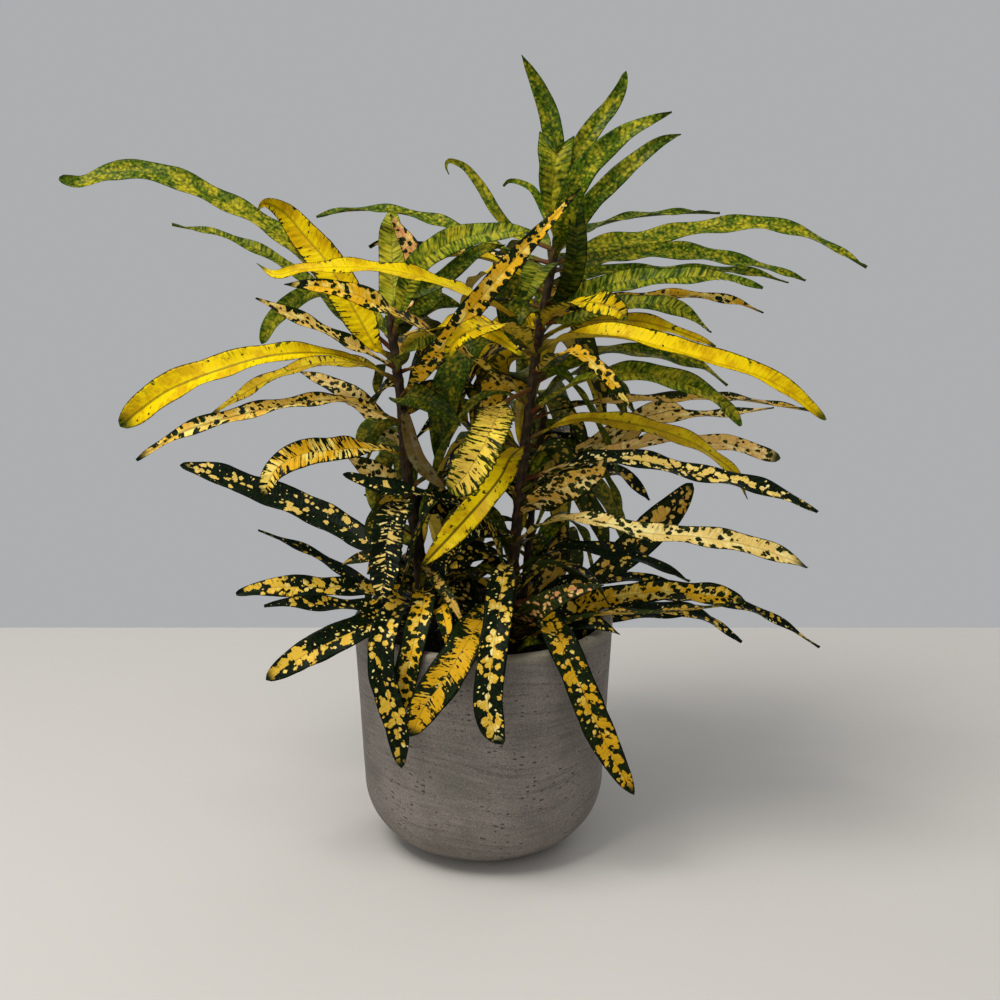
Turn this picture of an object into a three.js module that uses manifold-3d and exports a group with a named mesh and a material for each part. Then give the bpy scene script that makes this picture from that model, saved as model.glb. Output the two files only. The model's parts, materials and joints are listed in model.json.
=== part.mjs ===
// A potted croton, Codiaeum variegatum with narrow speckled leaves, in a cement-look pot.
// Millimetres, +Z up. The origin is the centre of the pot's foot, on the surface it stands on.
// The plant's front is -Y, and +X is to the right seen from the front.

import * as THREE from "three";
import { LoftGeometry } from "three/addons/geometries/LoftGeometry.js";
import { mergeVertices } from "three/addons/utils/BufferGeometryUtils.js";
import Module from "manifold-3d";

// Pot: nearly straight walls on a deeply rounded heel
const potRimRadius = 70;
const potHeight = 127.6;
const potTaper = 4.5;
const potHeelRadius = 37.5;
const potWall = 6.4;
const potRimRounding = 1.6;
const potFloorThickness = 9;
const potSides = 48;
const potArcSteps = 7;
const potRimSteps = 2;

// Soil: fills the pot to below its rim and lies a little higher in the middle
const soilBelowRim = 17;
const soilMound = 3;
const soilMoundSteps = 5;
const seatGap = 0.3;

// Stems: woody, tapering from the soil to the crown
const stemSides = 10;
const stemSteps = 14;
const searchSteps = 30;

// Leaves: a petiole that widens to a folded blade; the shares are parts of the leaf's length
const leafSteps = 12;
const leafThickness = 1.0;
const petioleThickness = 2.2;
const petioleWidth = 2.8;
const petioleSeat = 0.45;
const petioleShare = 0.07;
const widestShare = 0.4;
const taperShare = 0.58;
const tipWidth = 0.9;
const tipBluntness = 0.8;
const foldAngle = 0.22;
const seatSearchStep = 0.001;

// Points of a solid that lie nearer than this, in mm, are one point
const mergeDistance = 1e-4;

// View that the plant's outline was read from. A place on the plant is written as the picture
// column and row where it is seen, and its depth in mm behind the pot's axis.
const view = { focal: 1683, pitch: 0.25517, distance: 867, height: 418, side: 9, middle: 500 };

function seen([column, row, depth]) {
  const right = (column - view.middle) / view.focal;
  const up = (view.middle - row) / view.focal;
  const reach = (depth + view.distance) / (Math.cos(view.pitch) + up * Math.sin(view.pitch));
  const rise = up * Math.cos(view.pitch) - Math.sin(view.pitch);
  return new THREE.Vector3(view.side + reach * right, depth, view.height + reach * rise);
}

function rowOf(point) {
  const away = point.y + view.distance;
  const over = point.z - view.height;
  const up = away * Math.sin(view.pitch) + over * Math.cos(view.pitch);
  const reach = away * Math.cos(view.pitch) - over * Math.sin(view.pitch);
  return view.middle - view.focal * up / reach;
}

// Each stem: its radius at the soil and at the crown, and the places it passes
const stems = {
  right: { thick: 3.3, thin: 2.0,
    path: [[504, 690, 0], [510, 600, -2], [517, 523, -4], [528, 418, -6], [540, 330, -6],
      [553, 262, -4], [559, 225, -2]] },
  left: { thick: 4.0, thin: 2.2,
    path: [[426, 692, 6], [419, 553, 4], [408, 480, 2], [401, 400, 0], [393, 340, -2], [389, 312, -3]] },
  back: { thick: 2.2, thin: 1.5,
    path: [[516, 680, 26], [528, 548, 24], [538, 459, 22], [545, 410, 20]] },
};

// Each leaf: its stem, the picture row where it leaves the stem, its width in mm, its colouring,
// the places it passes on its way to the tip, and how far its upper face leans from the sky
// towards the front, in degrees, from its base to its tip
const leaves = {
  leaf_left_long_arch: { stem: "left", row: 352, width: 13, colour: "green", lean: [20, 50],
    path: [[346, 304, 14], [321, 270, 20], [274, 228, 26], [222, 199, 29], [157, 172, 31], [110, 171, 30],
      [80, 182, 28], [59, 178, 26]] },
  leaf_left_thin_arch: { stem: "left", row: 357, width: 8, colour: "green", lean: [10, 35],
    path: [[364, 339, 20], [321, 291, 42], [274, 257, 54], [222, 234, 62], [172, 224, 66]] },
  leaf_left_broad_curl: { stem: "left", row: 362, width: 20, colour: "yellow", lean: [60, 85],
    path: [[376, 346, -8], [362, 322, -8], [344, 291, -4], [326, 262, 2], [303, 234, 8],
      [284, 212, 10], [266, 203, 4], [257, 210, -2]] },
  leaf_left_back_arc: { stem: "left", row: 340, width: 11, colour: "green", lean: [0, 60],
    path: [[378, 322, 28], [352, 296, 46], [322, 287, 54], [300, 297, 62], [282, 310, 66], [269, 325, 68],
      [262, 344, 68]] },
  leaf_left_bright_arch: { stem: "left", row: 382, width: 17, colour: "yellow", lean: [15, 75],
    path: [[372, 365, -12], [352, 358, -20], [326, 351, -30], [274, 352, -40], [222, 365, -44],
      [170, 386, -44], [144, 405, -42], [120, 427, -38]] },
  leaf_left_under_arch: { stem: "left", row: 380, width: 12, colour: "yellow", lean: [20, 35],
    path: [[366, 364, 14], [336, 360, 22], [300, 365, 28], [264, 380, 32], [238, 396, 34], [212, 414, 34]] },
  leaf_left_long_blotched: { stem: "left", row: 424, width: 11, colour: "blotched", lean: [20, 40],
    path: [[380, 411, -10], [362, 403, -16], [339, 398, -24], [290, 402, -36], [232, 415, -44],
      [180, 432, -46], [157, 446, -45], [136, 460, -44]] },
  leaf_left_cream: { stem: "left", row: 458, width: 12, colour: "cream", lean: [40, 45],
    path: [[396, 440, 10], [384, 427, 18], [370, 410, 26], [354, 396, 36], [332, 384, 48], [300, 371, 58]] },
  leaf_left_striped: { stem: "left", row: 455, width: 14, colour: "blotched", lean: [10, 50, 80],
    path: [[384, 447, -16], [355, 446, -34], [331, 449, -46], [308, 452, -54], [290, 458, -58],
      [273, 472, -60], [262, 497, -60]] },
  leaf_left_dark_big: { stem: "left", row: 562, width: 17, colour: "dark", lean: [30, 50],
    path: [[398, 556, 20], [372, 544, 32], [343, 526, 42], [300, 504, 48], [248, 485, 50], [215, 472, 50],
      [180, 465, 48]] },
  leaf_left_dark_thin: { stem: "left", row: 600, width: 8, colour: "dark", lean: [20, 35],
    path: [[385, 592, 36], [360, 580, 48], [340, 568, 56], [304, 548, 64], [258, 530, 68]] },
  leaf_front_small_dark: { stem: "right", row: 535, width: 10, colour: "dark", lean: [-30, 20, 45],
    path: [[492, 520, -24], [470, 505, -38], [444, 498, -48], [414, 490, -54], [382, 485, -58],
      [343, 474, -60]] },
  leaf_left_hanging_ribbed: { stem: "left", row: 494, width: 17, colour: "dark", lean: [-10, 45, 95],
    path: [[403, 504, -20], [393, 514, -34], [387, 535, -46], [385, 560, -54], [383, 584, -58],
      [382, 604, -60]] },
  leaf_left_low_blotched: { stem: "left", row: 604, width: 12, colour: "dark", lean: [35, 50],
    path: [[388, 594, -12], [366, 588, -22], [346, 586, -30], [318, 586, -38], [290, 586, -42],
      [262, 588, -44], [236, 594, -46]] },
  leaf_left_low_wide: { stem: "left", row: 622, width: 16, colour: "dark", lean: [-20, 40, 80],
    path: [[402, 610, -18], [380, 617, -32], [357, 628, -44], [326, 643, -52], [300, 657, -56],
      [266, 680, -58]] },
  leaf_rim_left_hanging: { stem: "left", row: 614, width: 14, colour: "dark", lean: [-25, 45, 92],
    path: [[404, 600, -34], [392, 612, -52], [383, 636, -66], [381, 668, -71], [389, 700, -73],
      [397, 728, -74], [401, 768, -72]] },
  leaf_rim_left_yellow: { stem: "left", row: 600, width: 13, colour: "blotched", lean: [-25, 40, 92],
    path: [[424, 590, -30], [421, 612, -52], [413, 644, -63], [404, 684, -64], [399, 716, -64]] },
  leaf_front_diagonal: { stem: "right", row: 594, width: 19, colour: "blotched", lean: [0, 35, 90],
    path: [[492, 608, -34], [478, 622, -56], [461, 650, -76], [443, 680, -82], [425, 706, -84],
      [411, 737, -84]] },
  leaf_front_centre_hanging: { stem: "right", row: 560, width: 15, colour: "dark", lean: [0, 45, 92],
    path: [[503, 574, -42], [498, 617, -70], [492, 660, -84], [488, 702, -87], [493, 730, -87],
      [502, 745, -86]] },
  leaf_front_right_hanging: { stem: "right", row: 604, width: 16, colour: "blotched", lean: [0, 60, 92],
    path: [[534, 608, -24], [548, 620, -44], [561, 640, -60], [580, 684, -68], [593, 716, -69],
      [611, 755, -68], [634, 795, -64]] },
  leaf_rib_green: { stem: "left", row: 338, width: 14, colour: "green", lean: [58, 60, 48],
    path: [[401, 306, -12], [408, 284, -16], [420, 262, -20], [440, 246, -24], [466, 236, -30],
      [500, 231, -34], [541, 231, -36]] },
  leaf_orange_diagonal: { stem: "left", row: 398, width: 11, colour: "blotched", lean: [120, 98, 75],
    path: [[420, 374, -42], [447, 342, -74], [472, 309, -86], [502, 273, -90], [543, 228, -92],
      [581, 188, -90]] },
  leaf_crown_left_flat: { stem: "right", row: 264, width: 9, colour: "green", lean: [20, 30],
    path: [[532, 257, 2], [500, 246, 6], [461, 229, 18], [425, 216, 32], [383, 208, 38], [345, 209, 42],
      [316, 216, 44]] },
  leaf_yellow_left_long: { stem: "right", row: 344, width: 12, colour: "yellow", lean: [-20, 30, 45],
    path: [[524, 328, -18], [505, 308, -34], [482, 296, -44], [448, 283, -54], [403, 270, -62],
      [356, 265, -68], [302, 268, -70], [275, 274, -67], [257, 263, -62]] },
  leaf_blotched_left_long: { stem: "right", row: 404, width: 12, colour: "blotched", lean: [-8, 28, 60],
    path: [[518, 390, -12], [498, 375, -26], [477, 357, -38], [455, 343, -46], [422, 324, -58],
      [389, 308, -72], [356, 293, -80], [323, 286, -84], [284, 284, -86]] },
  leaf_crown_curled_tip: { stem: "right", row: 250, width: 9, colour: "green", lean: [60, 60],
    path: [[530, 240, 14], [514, 232, 24], [498, 214, 24], [480, 185, 28], [466, 168, 29], [455, 162, 28],
      [446, 166, 26]] },
  leaf_crown_top: { stem: "right", row: 230, width: 11, colour: "green", lean: [90, 80],
    path: [[557, 190, 10], [553, 135, 16], [547, 108, 19], [535, 80, 20], [522, 55, 18]] },
  leaf_crown_folded: { stem: "right", row: 240, width: 19, colour: "green", lean: [90, 75, 40],
    path: [[552, 218, -10], [552, 190, -13], [555, 165, -14], [556, 145, -10], [557, 132, 0]] },
  leaf_crown_back_right: { stem: "right", row: 233, width: 11, colour: "green", lean: [75, 75],
    path: [[566, 200, 16], [575, 160, 26], [584, 142, 32], [598, 121, 37], [611, 106, 40], [621, 88, 41],
      [626, 71, 41]] },
  leaf_crown_front_right: { stem: "right", row: 258, width: 12, colour: "green", lean: [125, 92, 65],
    path: [[561, 238, -28], [569, 202, -42], [580, 178, -46], [591, 162, -47], [625, 133, -50],
      [648, 121, -51], [672, 112, -51]] },
  leaf_crown_low_right: { stem: "right", row: 252, width: 10, colour: "green", lean: [95, 70, 55],
    path: [[573, 234, -6], [590, 204, -12], [604, 189, -14], [621, 173, -16], [639, 157, -17],
      [660, 142, -17], [681, 134, -16]] },
  leaf_crown_forward: { stem: "right", row: 274, width: 15, colour: "green", lean: [-30, 20, 85],
    path: [[546, 263, -20], [540, 264, -36], [533, 277, -49], [528, 292, -56], [525, 307, -58]] },
  leaf_right_thin_back: { stem: "right", row: 248, width: 7, colour: "green", lean: [10, 15],
    path: [[592, 226, 34], [616, 218, 46], [640, 214, 54], [688, 211, 66], [720, 212, 72]] },
  leaf_right_long: { stem: "right", row: 266, width: 11, colour: "green", lean: [25, 35],
    path: [[592, 246, 4], [640, 238, 8], [688, 229, 10], [736, 223, 9], [770, 223, 8], [808, 234, 6],
      [840, 250, 4], [867, 267, 2]] },
  leaf_right_second: { stem: "right", row: 272, width: 12, colour: "green", lean: [20, 40],
    path: [[600, 256, 26], [640, 250, 40], [688, 251, 48], [736, 259, 52], [773, 268, 54], [806, 280, 54]] },
  leaf_right_ribbed: { stem: "right", row: 308, width: 12, colour: "green", lean: [30, 40],
    path: [[585, 292, -20], [604, 284, -28], [640, 278, -36], [688, 275, -42], [730, 277, -44],
      [763, 288, -44]] },
  leaf_right_bright_long: { stem: "right", row: 352, width: 15, colour: "yellow", lean: [0, 35, 45],
    path: [[560, 336, -22], [580, 329, -32], [616, 329, -42], [664, 341, -50], [712, 355, -54],
      [760, 371, -56], [796, 393, -56], [826, 420, -54]] },
  leaf_right_lit_curl: { stem: "right", row: 330, width: 14, colour: "yellow", lean: [-30, 10, 75],
    path: [[550, 313, -26], [564, 302, -44], [582, 299, -58], [600, 302, -68], [617, 309, -74],
      [627, 320, -76]] },
  leaf_right_back_green: { stem: "right", row: 384, width: 11, colour: "green", lean: [20, 35],
    path: [[566, 366, 12], [590, 352, 22], [628, 349, 30], [676, 357, 38], [705, 367, 40], [728, 385, 40]] },
  leaf_right_droop_green: { stem: "right", row: 414, width: 13, colour: "green", lean: [-10, 35, 45],
    path: [[556, 392, -18], [572, 381, -26], [600, 373, -34], [640, 371, -42], [680, 380, -46],
      [710, 393, -48], [728, 407, -48], [741, 426, -48]] },
  leaf_right_back_cream: { stem: "right", row: 420, width: 8, colour: "cream", lean: [20, 25],
    path: [[570, 405, 14], [616, 399, 26], [664, 397, 36], [736, 397, 44], [775, 403, 46], [812, 410, 46]] },
  leaf_right_droop_yellow: { stem: "right", row: 440, width: 11, colour: "yellow", lean: [25, 45],
    path: [[562, 422, -8], [588, 417, -14], [636, 423, -20], [684, 437, -24], [712, 453, -26],
      [734, 472, -26], [748, 499, -26]] },
  leaf_right_dark_long: { stem: "right", row: 492, width: 12, colour: "dark", lean: [0, 35, 40],
    path: [[548, 474, -22], [576, 460, -34], [612, 456, -42], [648, 460, -46], [696, 472, -49],
      [744, 481, -50], [785, 495, -50], [818, 512, -50]] },
  leaf_right_pale_broad: { stem: "right", row: 516, width: 17, colour: "cream", lean: [140, 105, 80],
    path: [[538, 504, -28], [560, 490, -42], [583, 480, -50], [598, 471, -54], [607, 456, -54]] },
  leaf_right_cream_long: { stem: "right", row: 542, width: 12, colour: "cream", lean: [-10, 32, 36],
    path: [[546, 520, -32], [576, 515, -50], [612, 522, -60], [648, 531, -64], [696, 535, -67],
      [744, 543, -68], [780, 554, -68], [808, 567, -68]] },
  leaf_right_paddle: { stem: "right", row: 604, width: 19, colour: "blotched", lean: [60, 60],
    path: [[560, 592, 10], [600, 572, 16], [634, 546, 21], [656, 525, 23], [676, 505, 24], [692, 483, 24]] },
  leaf_right_dark_arch: { stem: "right", row: 572, width: 10, colour: "dark", lean: [-10, 28, 35],
    path: [[545, 552, -14], [564, 546, -19], [588, 546, -23], [636, 556, -28], [664, 567, -30],
      [690, 581, -30]] },
  leaf_right_low_blotched: { stem: "right", row: 620, width: 14, colour: "blotched", lean: [25, 45],
    path: [[548, 618, 8], [580, 604, 0], [614, 596, -8], [660, 590, -14], [700, 592, -18],
      [730, 597, -20], [745, 600, -20]] },
  leaf_right_low_pink: { stem: "right", row: 630, width: 13, colour: "cream", lean: [125, 95, 65],
    path: [[519, 620, -36], [532, 612, -56], [550, 600, -66], [572, 591, -68], [604, 585, -68]] },
  leaf_centre_bright_tip: { stem: "right", row: 356, width: 14, colour: "yellow", lean: [-30, 15, 85],
    path: [[524, 336, -36], [505, 322, -68], [486, 323, -94], [465, 333, -110], [452, 345, -116],
      [447, 362, -118]] },
  leaf_centre_ribbed: { stem: "right", row: 388, width: 19, colour: "yellow", lean: [0, 45, 95],
    path: [[502, 404, -44], [494, 420, -68], [482, 448, -86], [464, 478, -94], [449, 492, -96]] },
  leaf_centre_yellow: { stem: "right", row: 446, width: 14, colour: "yellow", lean: [0, 45, 88],
    path: [[510, 456, -44], [500, 476, -58], [480, 502, -68], [452, 534, -76], [421, 567, -78]] },
  leaf_back_crown: { stem: "right", row: 262, width: 13, colour: "green", lean: [0, -30],
    path: [[564, 240, 34], [570, 230, 78], [574, 240, 118], [576, 262, 146]] },
  leaf_back_right: { stem: "right", row: 336, width: 13, colour: "green", lean: [0, -30],
    path: [[560, 312, 34], [576, 300, 78], [590, 306, 116], [598, 326, 144]] },
  leaf_back_left: { stem: "left", row: 372, width: 13, colour: "blotched", lean: [0, -30],
    path: [[400, 350, 36], [406, 332, 78], [412, 330, 112], [416, 342, 140]] },
};

const finishes = {
  green: { colour: "#4f6b1c", roughness: 0.42 },
  yellow: { colour: "#d9ae16", roughness: 0.42 },
  blotched: { colour: "#b08a1a", roughness: 0.42 },
  dark: { colour: "#1f2e14", roughness: 0.4 },
  cream: { colour: "#c9a662", roughness: 0.45 },
  cement: { colour: "#746e67", roughness: 0.85 },
  soil: { colour: "#17120e", roughness: 0.95 },
  bark: { colour: "#3a2a20", roughness: 0.8 },
};

function material(name) {
  const { colour, roughness } = finishes[name];
  return new THREE.MeshStandardMaterial({ color: colour, roughness, metalness: 0 });
}

const wasm = await Module();
wasm.setup();

function solidOf(geometry) {
  const bare = new THREE.BufferGeometry();
  bare.setAttribute("position", geometry.attributes.position);
  bare.setIndex(geometry.index);
  const merged = mergeVertices(bare, mergeDistance);
  return new wasm.Manifold(new wasm.Mesh({
    numProp: 3,
    vertProperties: new Float32Array(merged.attributes.position.array),
    triVerts: new Uint32Array(merged.index.array),
  }));
}

function geometryOf(solid) {
  const mesh = solid.getMesh();
  const geometry = new THREE.BufferGeometry();
  geometry.setAttribute("position", new THREE.BufferAttribute(mesh.vertProperties, 3));
  geometry.setIndex(new THREE.BufferAttribute(mesh.triVerts, 1));
  geometry.computeVertexNormals();
  return geometry;
}

// Turned solids: a profile of radius and height, from the axis out and back to the axis
function turned(profile) {
  const geometry = new THREE.LatheGeometry(profile, potSides);
  geometry.rotateX(Math.PI / 2);
  return geometry;
}

function arcPoints(centreRadius, centreHeight, radius, from, to, steps) {
  const points = [];
  for (let i = 0; i <= steps; i += 1) {
    const angle = from + (to - from) * i / steps;
    points.push(new THREE.Vector2(
      centreRadius + radius * Math.cos(angle),
      centreHeight + radius * Math.sin(angle),
    ));
  }
  return points;
}

function potBottomRadius() {
  return potRimRadius - potTaper;
}

function innerRadiusAt(height) {
  const share = (height - potHeelRadius) / (potHeight - potHeelRadius);
  return potBottomRadius() + potTaper * share - potWall;
}

function potProfile() {
  const down = -Math.PI / 2;
  const innerHeel = potHeelRadius - potWall;
  const innerMiddle = potBottomRadius() - potHeelRadius;
  return [
    new THREE.Vector2(0, 0),
    ...arcPoints(innerMiddle, potHeelRadius, potHeelRadius, down, 0, potArcSteps),
    ...arcPoints(potRimRadius - potRimRounding, potHeight - potRimRounding, potRimRounding, 0, -down,
      potRimSteps),
    ...arcPoints(potRimRadius - potWall + potRimRounding, potHeight - potRimRounding, potRimRounding,
      -down, Math.PI, potRimSteps),
    ...arcPoints(innerMiddle, potFloorThickness + innerHeel, innerHeel, 0, down, potArcSteps),
    new THREE.Vector2(0, potFloorThickness),
  ];
}

function soilProfile() {
  const down = -Math.PI / 2;
  const innerHeel = potHeelRadius - potWall - seatGap;
  const innerMiddle = potBottomRadius() - potHeelRadius;
  const top = potHeight - soilBelowRim;
  const edge = innerRadiusAt(top) - seatGap;
  const profile = [
    new THREE.Vector2(0, potFloorThickness + seatGap),
    ...arcPoints(innerMiddle, potHeelRadius - potWall + potFloorThickness, innerHeel, down, 0, potArcSteps),
    new THREE.Vector2(edge, top),
  ];
  for (let i = 1; i < soilMoundSteps; i += 1) {
    const share = i / soilMoundSteps;
    const rise = soilMound * (1 - Math.cos(Math.PI * share)) / 2;
    profile.push(new THREE.Vector2(edge * (1 - share), top + rise));
  }
  profile.push(new THREE.Vector2(0, top + soilMound));
  return profile;
}

function curveThrough(points) {
  return new THREE.CatmullRomCurve3(points, false, "centripetal");
}

const stemCurves = {};
for (const [side, stem] of Object.entries(stems)) {
  stemCurves[side] = curveThrough(stem.path.map(seen));
}

function stemRadius(side, share) {
  return stems[side].thick + (stems[side].thin - stems[side].thick) * share;
}

function stemGeometry(side, margin) {
  const rings = [];
  for (let i = 0; i <= stemSteps; i += 1) {
    const share = i / stemSteps;
    const centre = stemCurves[side].getPoint(share);
    const radius = stemRadius(side, share) + margin;
    const ring = [];
    for (let j = 0; j < stemSides; j += 1) {
      const angle = 2 * Math.PI * j / stemSides;
      ring.push(new THREE.Vector3(
        centre.x + radius * Math.cos(angle),
        centre.y + radius * Math.sin(angle),
        centre.z,
      ));
    }
    rings.push(ring);
  }
  return new LoftGeometry(rings, { capStart: true, capEnd: true });
}

// Share of a stem's length at which a measure that grows up the stem reaches a value
function stemShare(side, measure, value) {
  let low = 0;
  let high = 1;
  for (let i = 0; i < searchSteps; i += 1) {
    const half = (low + high) / 2;
    if (measure(stemCurves[side].getPoint(half)) < value) {
      low = half;
    } else {
      high = half;
    }
  }
  return low;
}

// The place on a stem's centre line that is seen at a picture row
function stemPlace(side, row) {
  return stemCurves[side].getPoint(stemShare(side, (point) => -rowOf(point), -row));
}

// The narrowest gap between a leaf's section and its stem
function gapToStem(side, section) {
  const stemTop = stemCurves[side].getPoint(1).z;
  const gaps = section.map((point) => {
    const share = stemShare(side, (place) => place.z, point.z);
    const centre = stemCurves[side].getPoint(share);
    const aside = Math.hypot(point.x - centre.x, point.y - centre.y) - stemRadius(side, share);
    const above = point.z - stemTop;
    return above > 0 ? Math.hypot(Math.max(aside, 0), above) : aside;
  });
  return Math.min(...gaps);
}

// Share of the blade's full width at a share of the leaf's length
function bladeShare(t) {
  const opened = THREE.MathUtils.clamp((t - petioleShare) / (widestShare - petioleShare), 0, 1);
  const closing = THREE.MathUtils.clamp((t - taperShare) / (1 - taperShare), 0, 1);
  return Math.sin(Math.PI / 2 * opened) * Math.cos(Math.PI / 2 * closing) ** tipBluntness;
}

// A leaf's lean in radians at a share of its length, between the leans that are stated for it
function leanAt(leans, t) {
  const place = t * (leans.length - 1);
  const index = Math.min(Math.floor(place), leans.length - 2);
  const lean = leans[index] + (leans[index + 1] - leans[index]) * (place - index);
  return THREE.MathUtils.degToRad(lean);
}

function leafSection(leaf, curve, t) {
  const centre = curve.getPointAt(t);
  const along = curve.getTangentAt(t);
  const lean = leanAt(leaf.lean, t);
  const facing = new THREE.Vector3(0, -Math.sin(lean), Math.cos(lean));
  const upper = facing.addScaledVector(along, -facing.dot(along)).normalize();
  const across = new THREE.Vector3().crossVectors(along, upper);
  const share = bladeShare(t);
  const petiole = Math.max(0, 1 - t / petioleShare);
  const least = t > taperShare ? tipWidth : petioleWidth;
  const half = Math.max(leaf.width * share, least) / 2;
  const thick = (leafThickness + (petioleThickness - leafThickness) * petiole) / 2;
  const lift = half * Math.sin(foldAngle);
  const side = half * Math.cos(foldAngle);
  return [
    centre.clone().addScaledVector(across, -side),
    centre.clone().addScaledVector(upper, thick - lift),
    centre.clone().addScaledVector(across, side),
    centre.clone().addScaledVector(upper, -thick - lift),
  ];
}

// Share of a leaf's curve at which its petiole comes clear of the stem that it grows from
function petioleStart(leaf, curve) {
  let start = 0;
  while (gapToStem(leaf.stem, leafSection(leaf, curve, start)) < petioleSeat) {
    start += seatSearchStep;
  }
  return start;
}

// The closed body through a leaf's four-cornered sections. Its two faces are split along the same
// diagonals, so that they stay apart where the blade twists.
function bladeBody(sections) {
  const corners = sections[0].length;
  const last = (sections.length - 1) * corners;
  const index = [0, 2, 1, 0, 3, 2, last, last + 1, last + 2, last, last + 2, last + 3];
  for (let i = 0; i < last; i += corners) {
    for (let k = 0; k < corners; k += 1) {
      const near = i + k;
      const next = i + (k + 1) % corners;
      if (k % 2 === 0) {
        index.push(near, next, next + corners, near, next + corners, near + corners);
      } else {
        index.push(near, next, near + corners, next, next + corners, near + corners);
      }
    }
  }
  const geometry = new THREE.BufferGeometry().setFromPoints(sections.flat());
  geometry.setIndex(index);
  return geometry;
}

function leafGeometry(leaf) {
  const base = stemPlace(leaf.stem, leaf.row);
  const curve = curveThrough([base, ...leaf.path.map(seen)]);
  const start = petioleStart(leaf, curve);
  const sections = [];
  for (let i = 0; i <= leafSteps; i += 1) {
    sections.push(leafSection(leaf, curve, start + (1 - start) * i / leafSteps));
  }
  return bladeBody(sections);
}

const croton = new THREE.Group();

function add(name, geometry, finish) {
  const mesh = new THREE.Mesh(geometry, material(finish));
  mesh.name = name;
  croton.add(mesh);
}

// The soil with a hole for each stem
function soilGeometry() {
  let soil = solidOf(turned(soilProfile()));
  for (const side of Object.keys(stems)) {
    soil = soil.subtract(solidOf(stemGeometry(side, seatGap)));
  }
  return geometryOf(soil);
}

add("pot", turned(potProfile()), "cement");
add("potting_soil", soilGeometry(), "soil");
for (const side of Object.keys(stems)) {
  add(`stem_${side}`, stemGeometry(side, 0), "bark");
}
for (const [name, leaf] of Object.entries(leaves)) {
  add(name, leafGeometry(leaf), leaf.colour);
}

export default croton;
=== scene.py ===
"""A potted croton: narrow speckled leaves on three woody stems, in a round cement-look pot.

Metres, +Z up, with the plant's front towards -Y. Lengths below are in mm and are turned to metres by MM.
"""

import json
import math
import random
from functools import partial

import bpy
import numpy as np
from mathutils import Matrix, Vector


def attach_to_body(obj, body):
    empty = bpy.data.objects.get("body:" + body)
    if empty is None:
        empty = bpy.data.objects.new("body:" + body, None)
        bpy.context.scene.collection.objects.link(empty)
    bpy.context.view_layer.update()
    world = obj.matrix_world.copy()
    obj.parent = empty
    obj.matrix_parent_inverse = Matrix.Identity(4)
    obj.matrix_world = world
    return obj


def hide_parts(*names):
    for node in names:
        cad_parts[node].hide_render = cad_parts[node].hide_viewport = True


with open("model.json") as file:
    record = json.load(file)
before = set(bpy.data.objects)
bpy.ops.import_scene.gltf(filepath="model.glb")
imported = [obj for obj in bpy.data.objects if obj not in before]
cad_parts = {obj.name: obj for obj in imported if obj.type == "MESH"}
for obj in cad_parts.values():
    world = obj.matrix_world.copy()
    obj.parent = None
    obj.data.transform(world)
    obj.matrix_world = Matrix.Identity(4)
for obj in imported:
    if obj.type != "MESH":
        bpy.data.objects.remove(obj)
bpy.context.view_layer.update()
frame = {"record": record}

MM = 0.001
FULL_TURN = 2 * math.pi

# The view that the plant's outline was read from. A place is written as the picture column and row
# where it is seen, and its depth in mm behind the pot's axis.
FOCAL = 1683
PITCH = 0.25517
DISTANCE = 867
HEIGHT = 418
SIDE = 9
MIDDLE = 500
PICTURE = 1000
SENSOR = 36.0

# Floor, in metres, and the lamps: place in metres, size, power and colour
FLOOR_NEAR = -2.4
FLOOR_FAR = 0.35
FLOOR_REACH = 2.4
FLOOR_COLOUR = "#c9c5bf"
AIM = Vector((0, 0, 0.22))
LAMPS = {
    "sky": ((-0.5, -0.45, 1.35), 0.6, 16, (1.0, 0.98, 0.95)),
    "front": ((-0.6, -1.45, 0.6), 0.8, 3.2, (1.0, 0.99, 0.97)),
    "behind": ((0.9, 1.3, 0.9), 0.9, 3.5, (0.97, 0.98, 1.0)),
}
ROOM_LIGHT = {"Color": "#c4c6c8", "Strength": 0.75}

# Pot
POT_RIM_RADIUS = 70
POT_HEIGHT = 127.6
POT_TAPER = 4.5
POT_HEEL = 37.5
POT_WALL = 6.4
POT_RIM_ROUNDING = 1.6
POT_FLOOR = 9
ARC_STEP = 1.6
LONG_STRAIGHT = 3

# Soil
SOIL_BELOW_RIM = 17
SOIL_TOP = POT_HEIGHT - SOIL_BELOW_RIM
SOIL_MOUND = 3
SOIL_GAP = 0.3
MOUND_STEPS = 30

# How the pot and the soil are turned: how many sides, how high their relief is, how many waves of it
# go into a mm, how many crumbs lie on a square metre, and above which height in metres they lie. The
# relief fades out within AXIS_ROOM of the axis, so that both ends of the section stay closed.
POT_TURNING = {"Sides": 256, "Relief": 0.5, "Grain": 0.05, "Crumbs": 0.0, "Crumb level": 9.0}
SOIL_TURNING = {"Sides": 160, "Relief": 2.2, "Grain": 0.11, "Crumbs": 190000.0,
                "Crumb level": (SOIL_TOP - 1) * MM}
AXIS_ROOM = 8.0
WELD = 0.02
CRUMB_RADIUS = 1.0
CRUMB_LEAST = (0.6, 0.6, 0.4)
CRUMB_MOST = (2.6, 1.7, 1.2)
CRUMB_TURN = (6.28, 6.28, 6.28)
CRUMB_SEED = 5
FLAT_ENOUGH = 0.5

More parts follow.
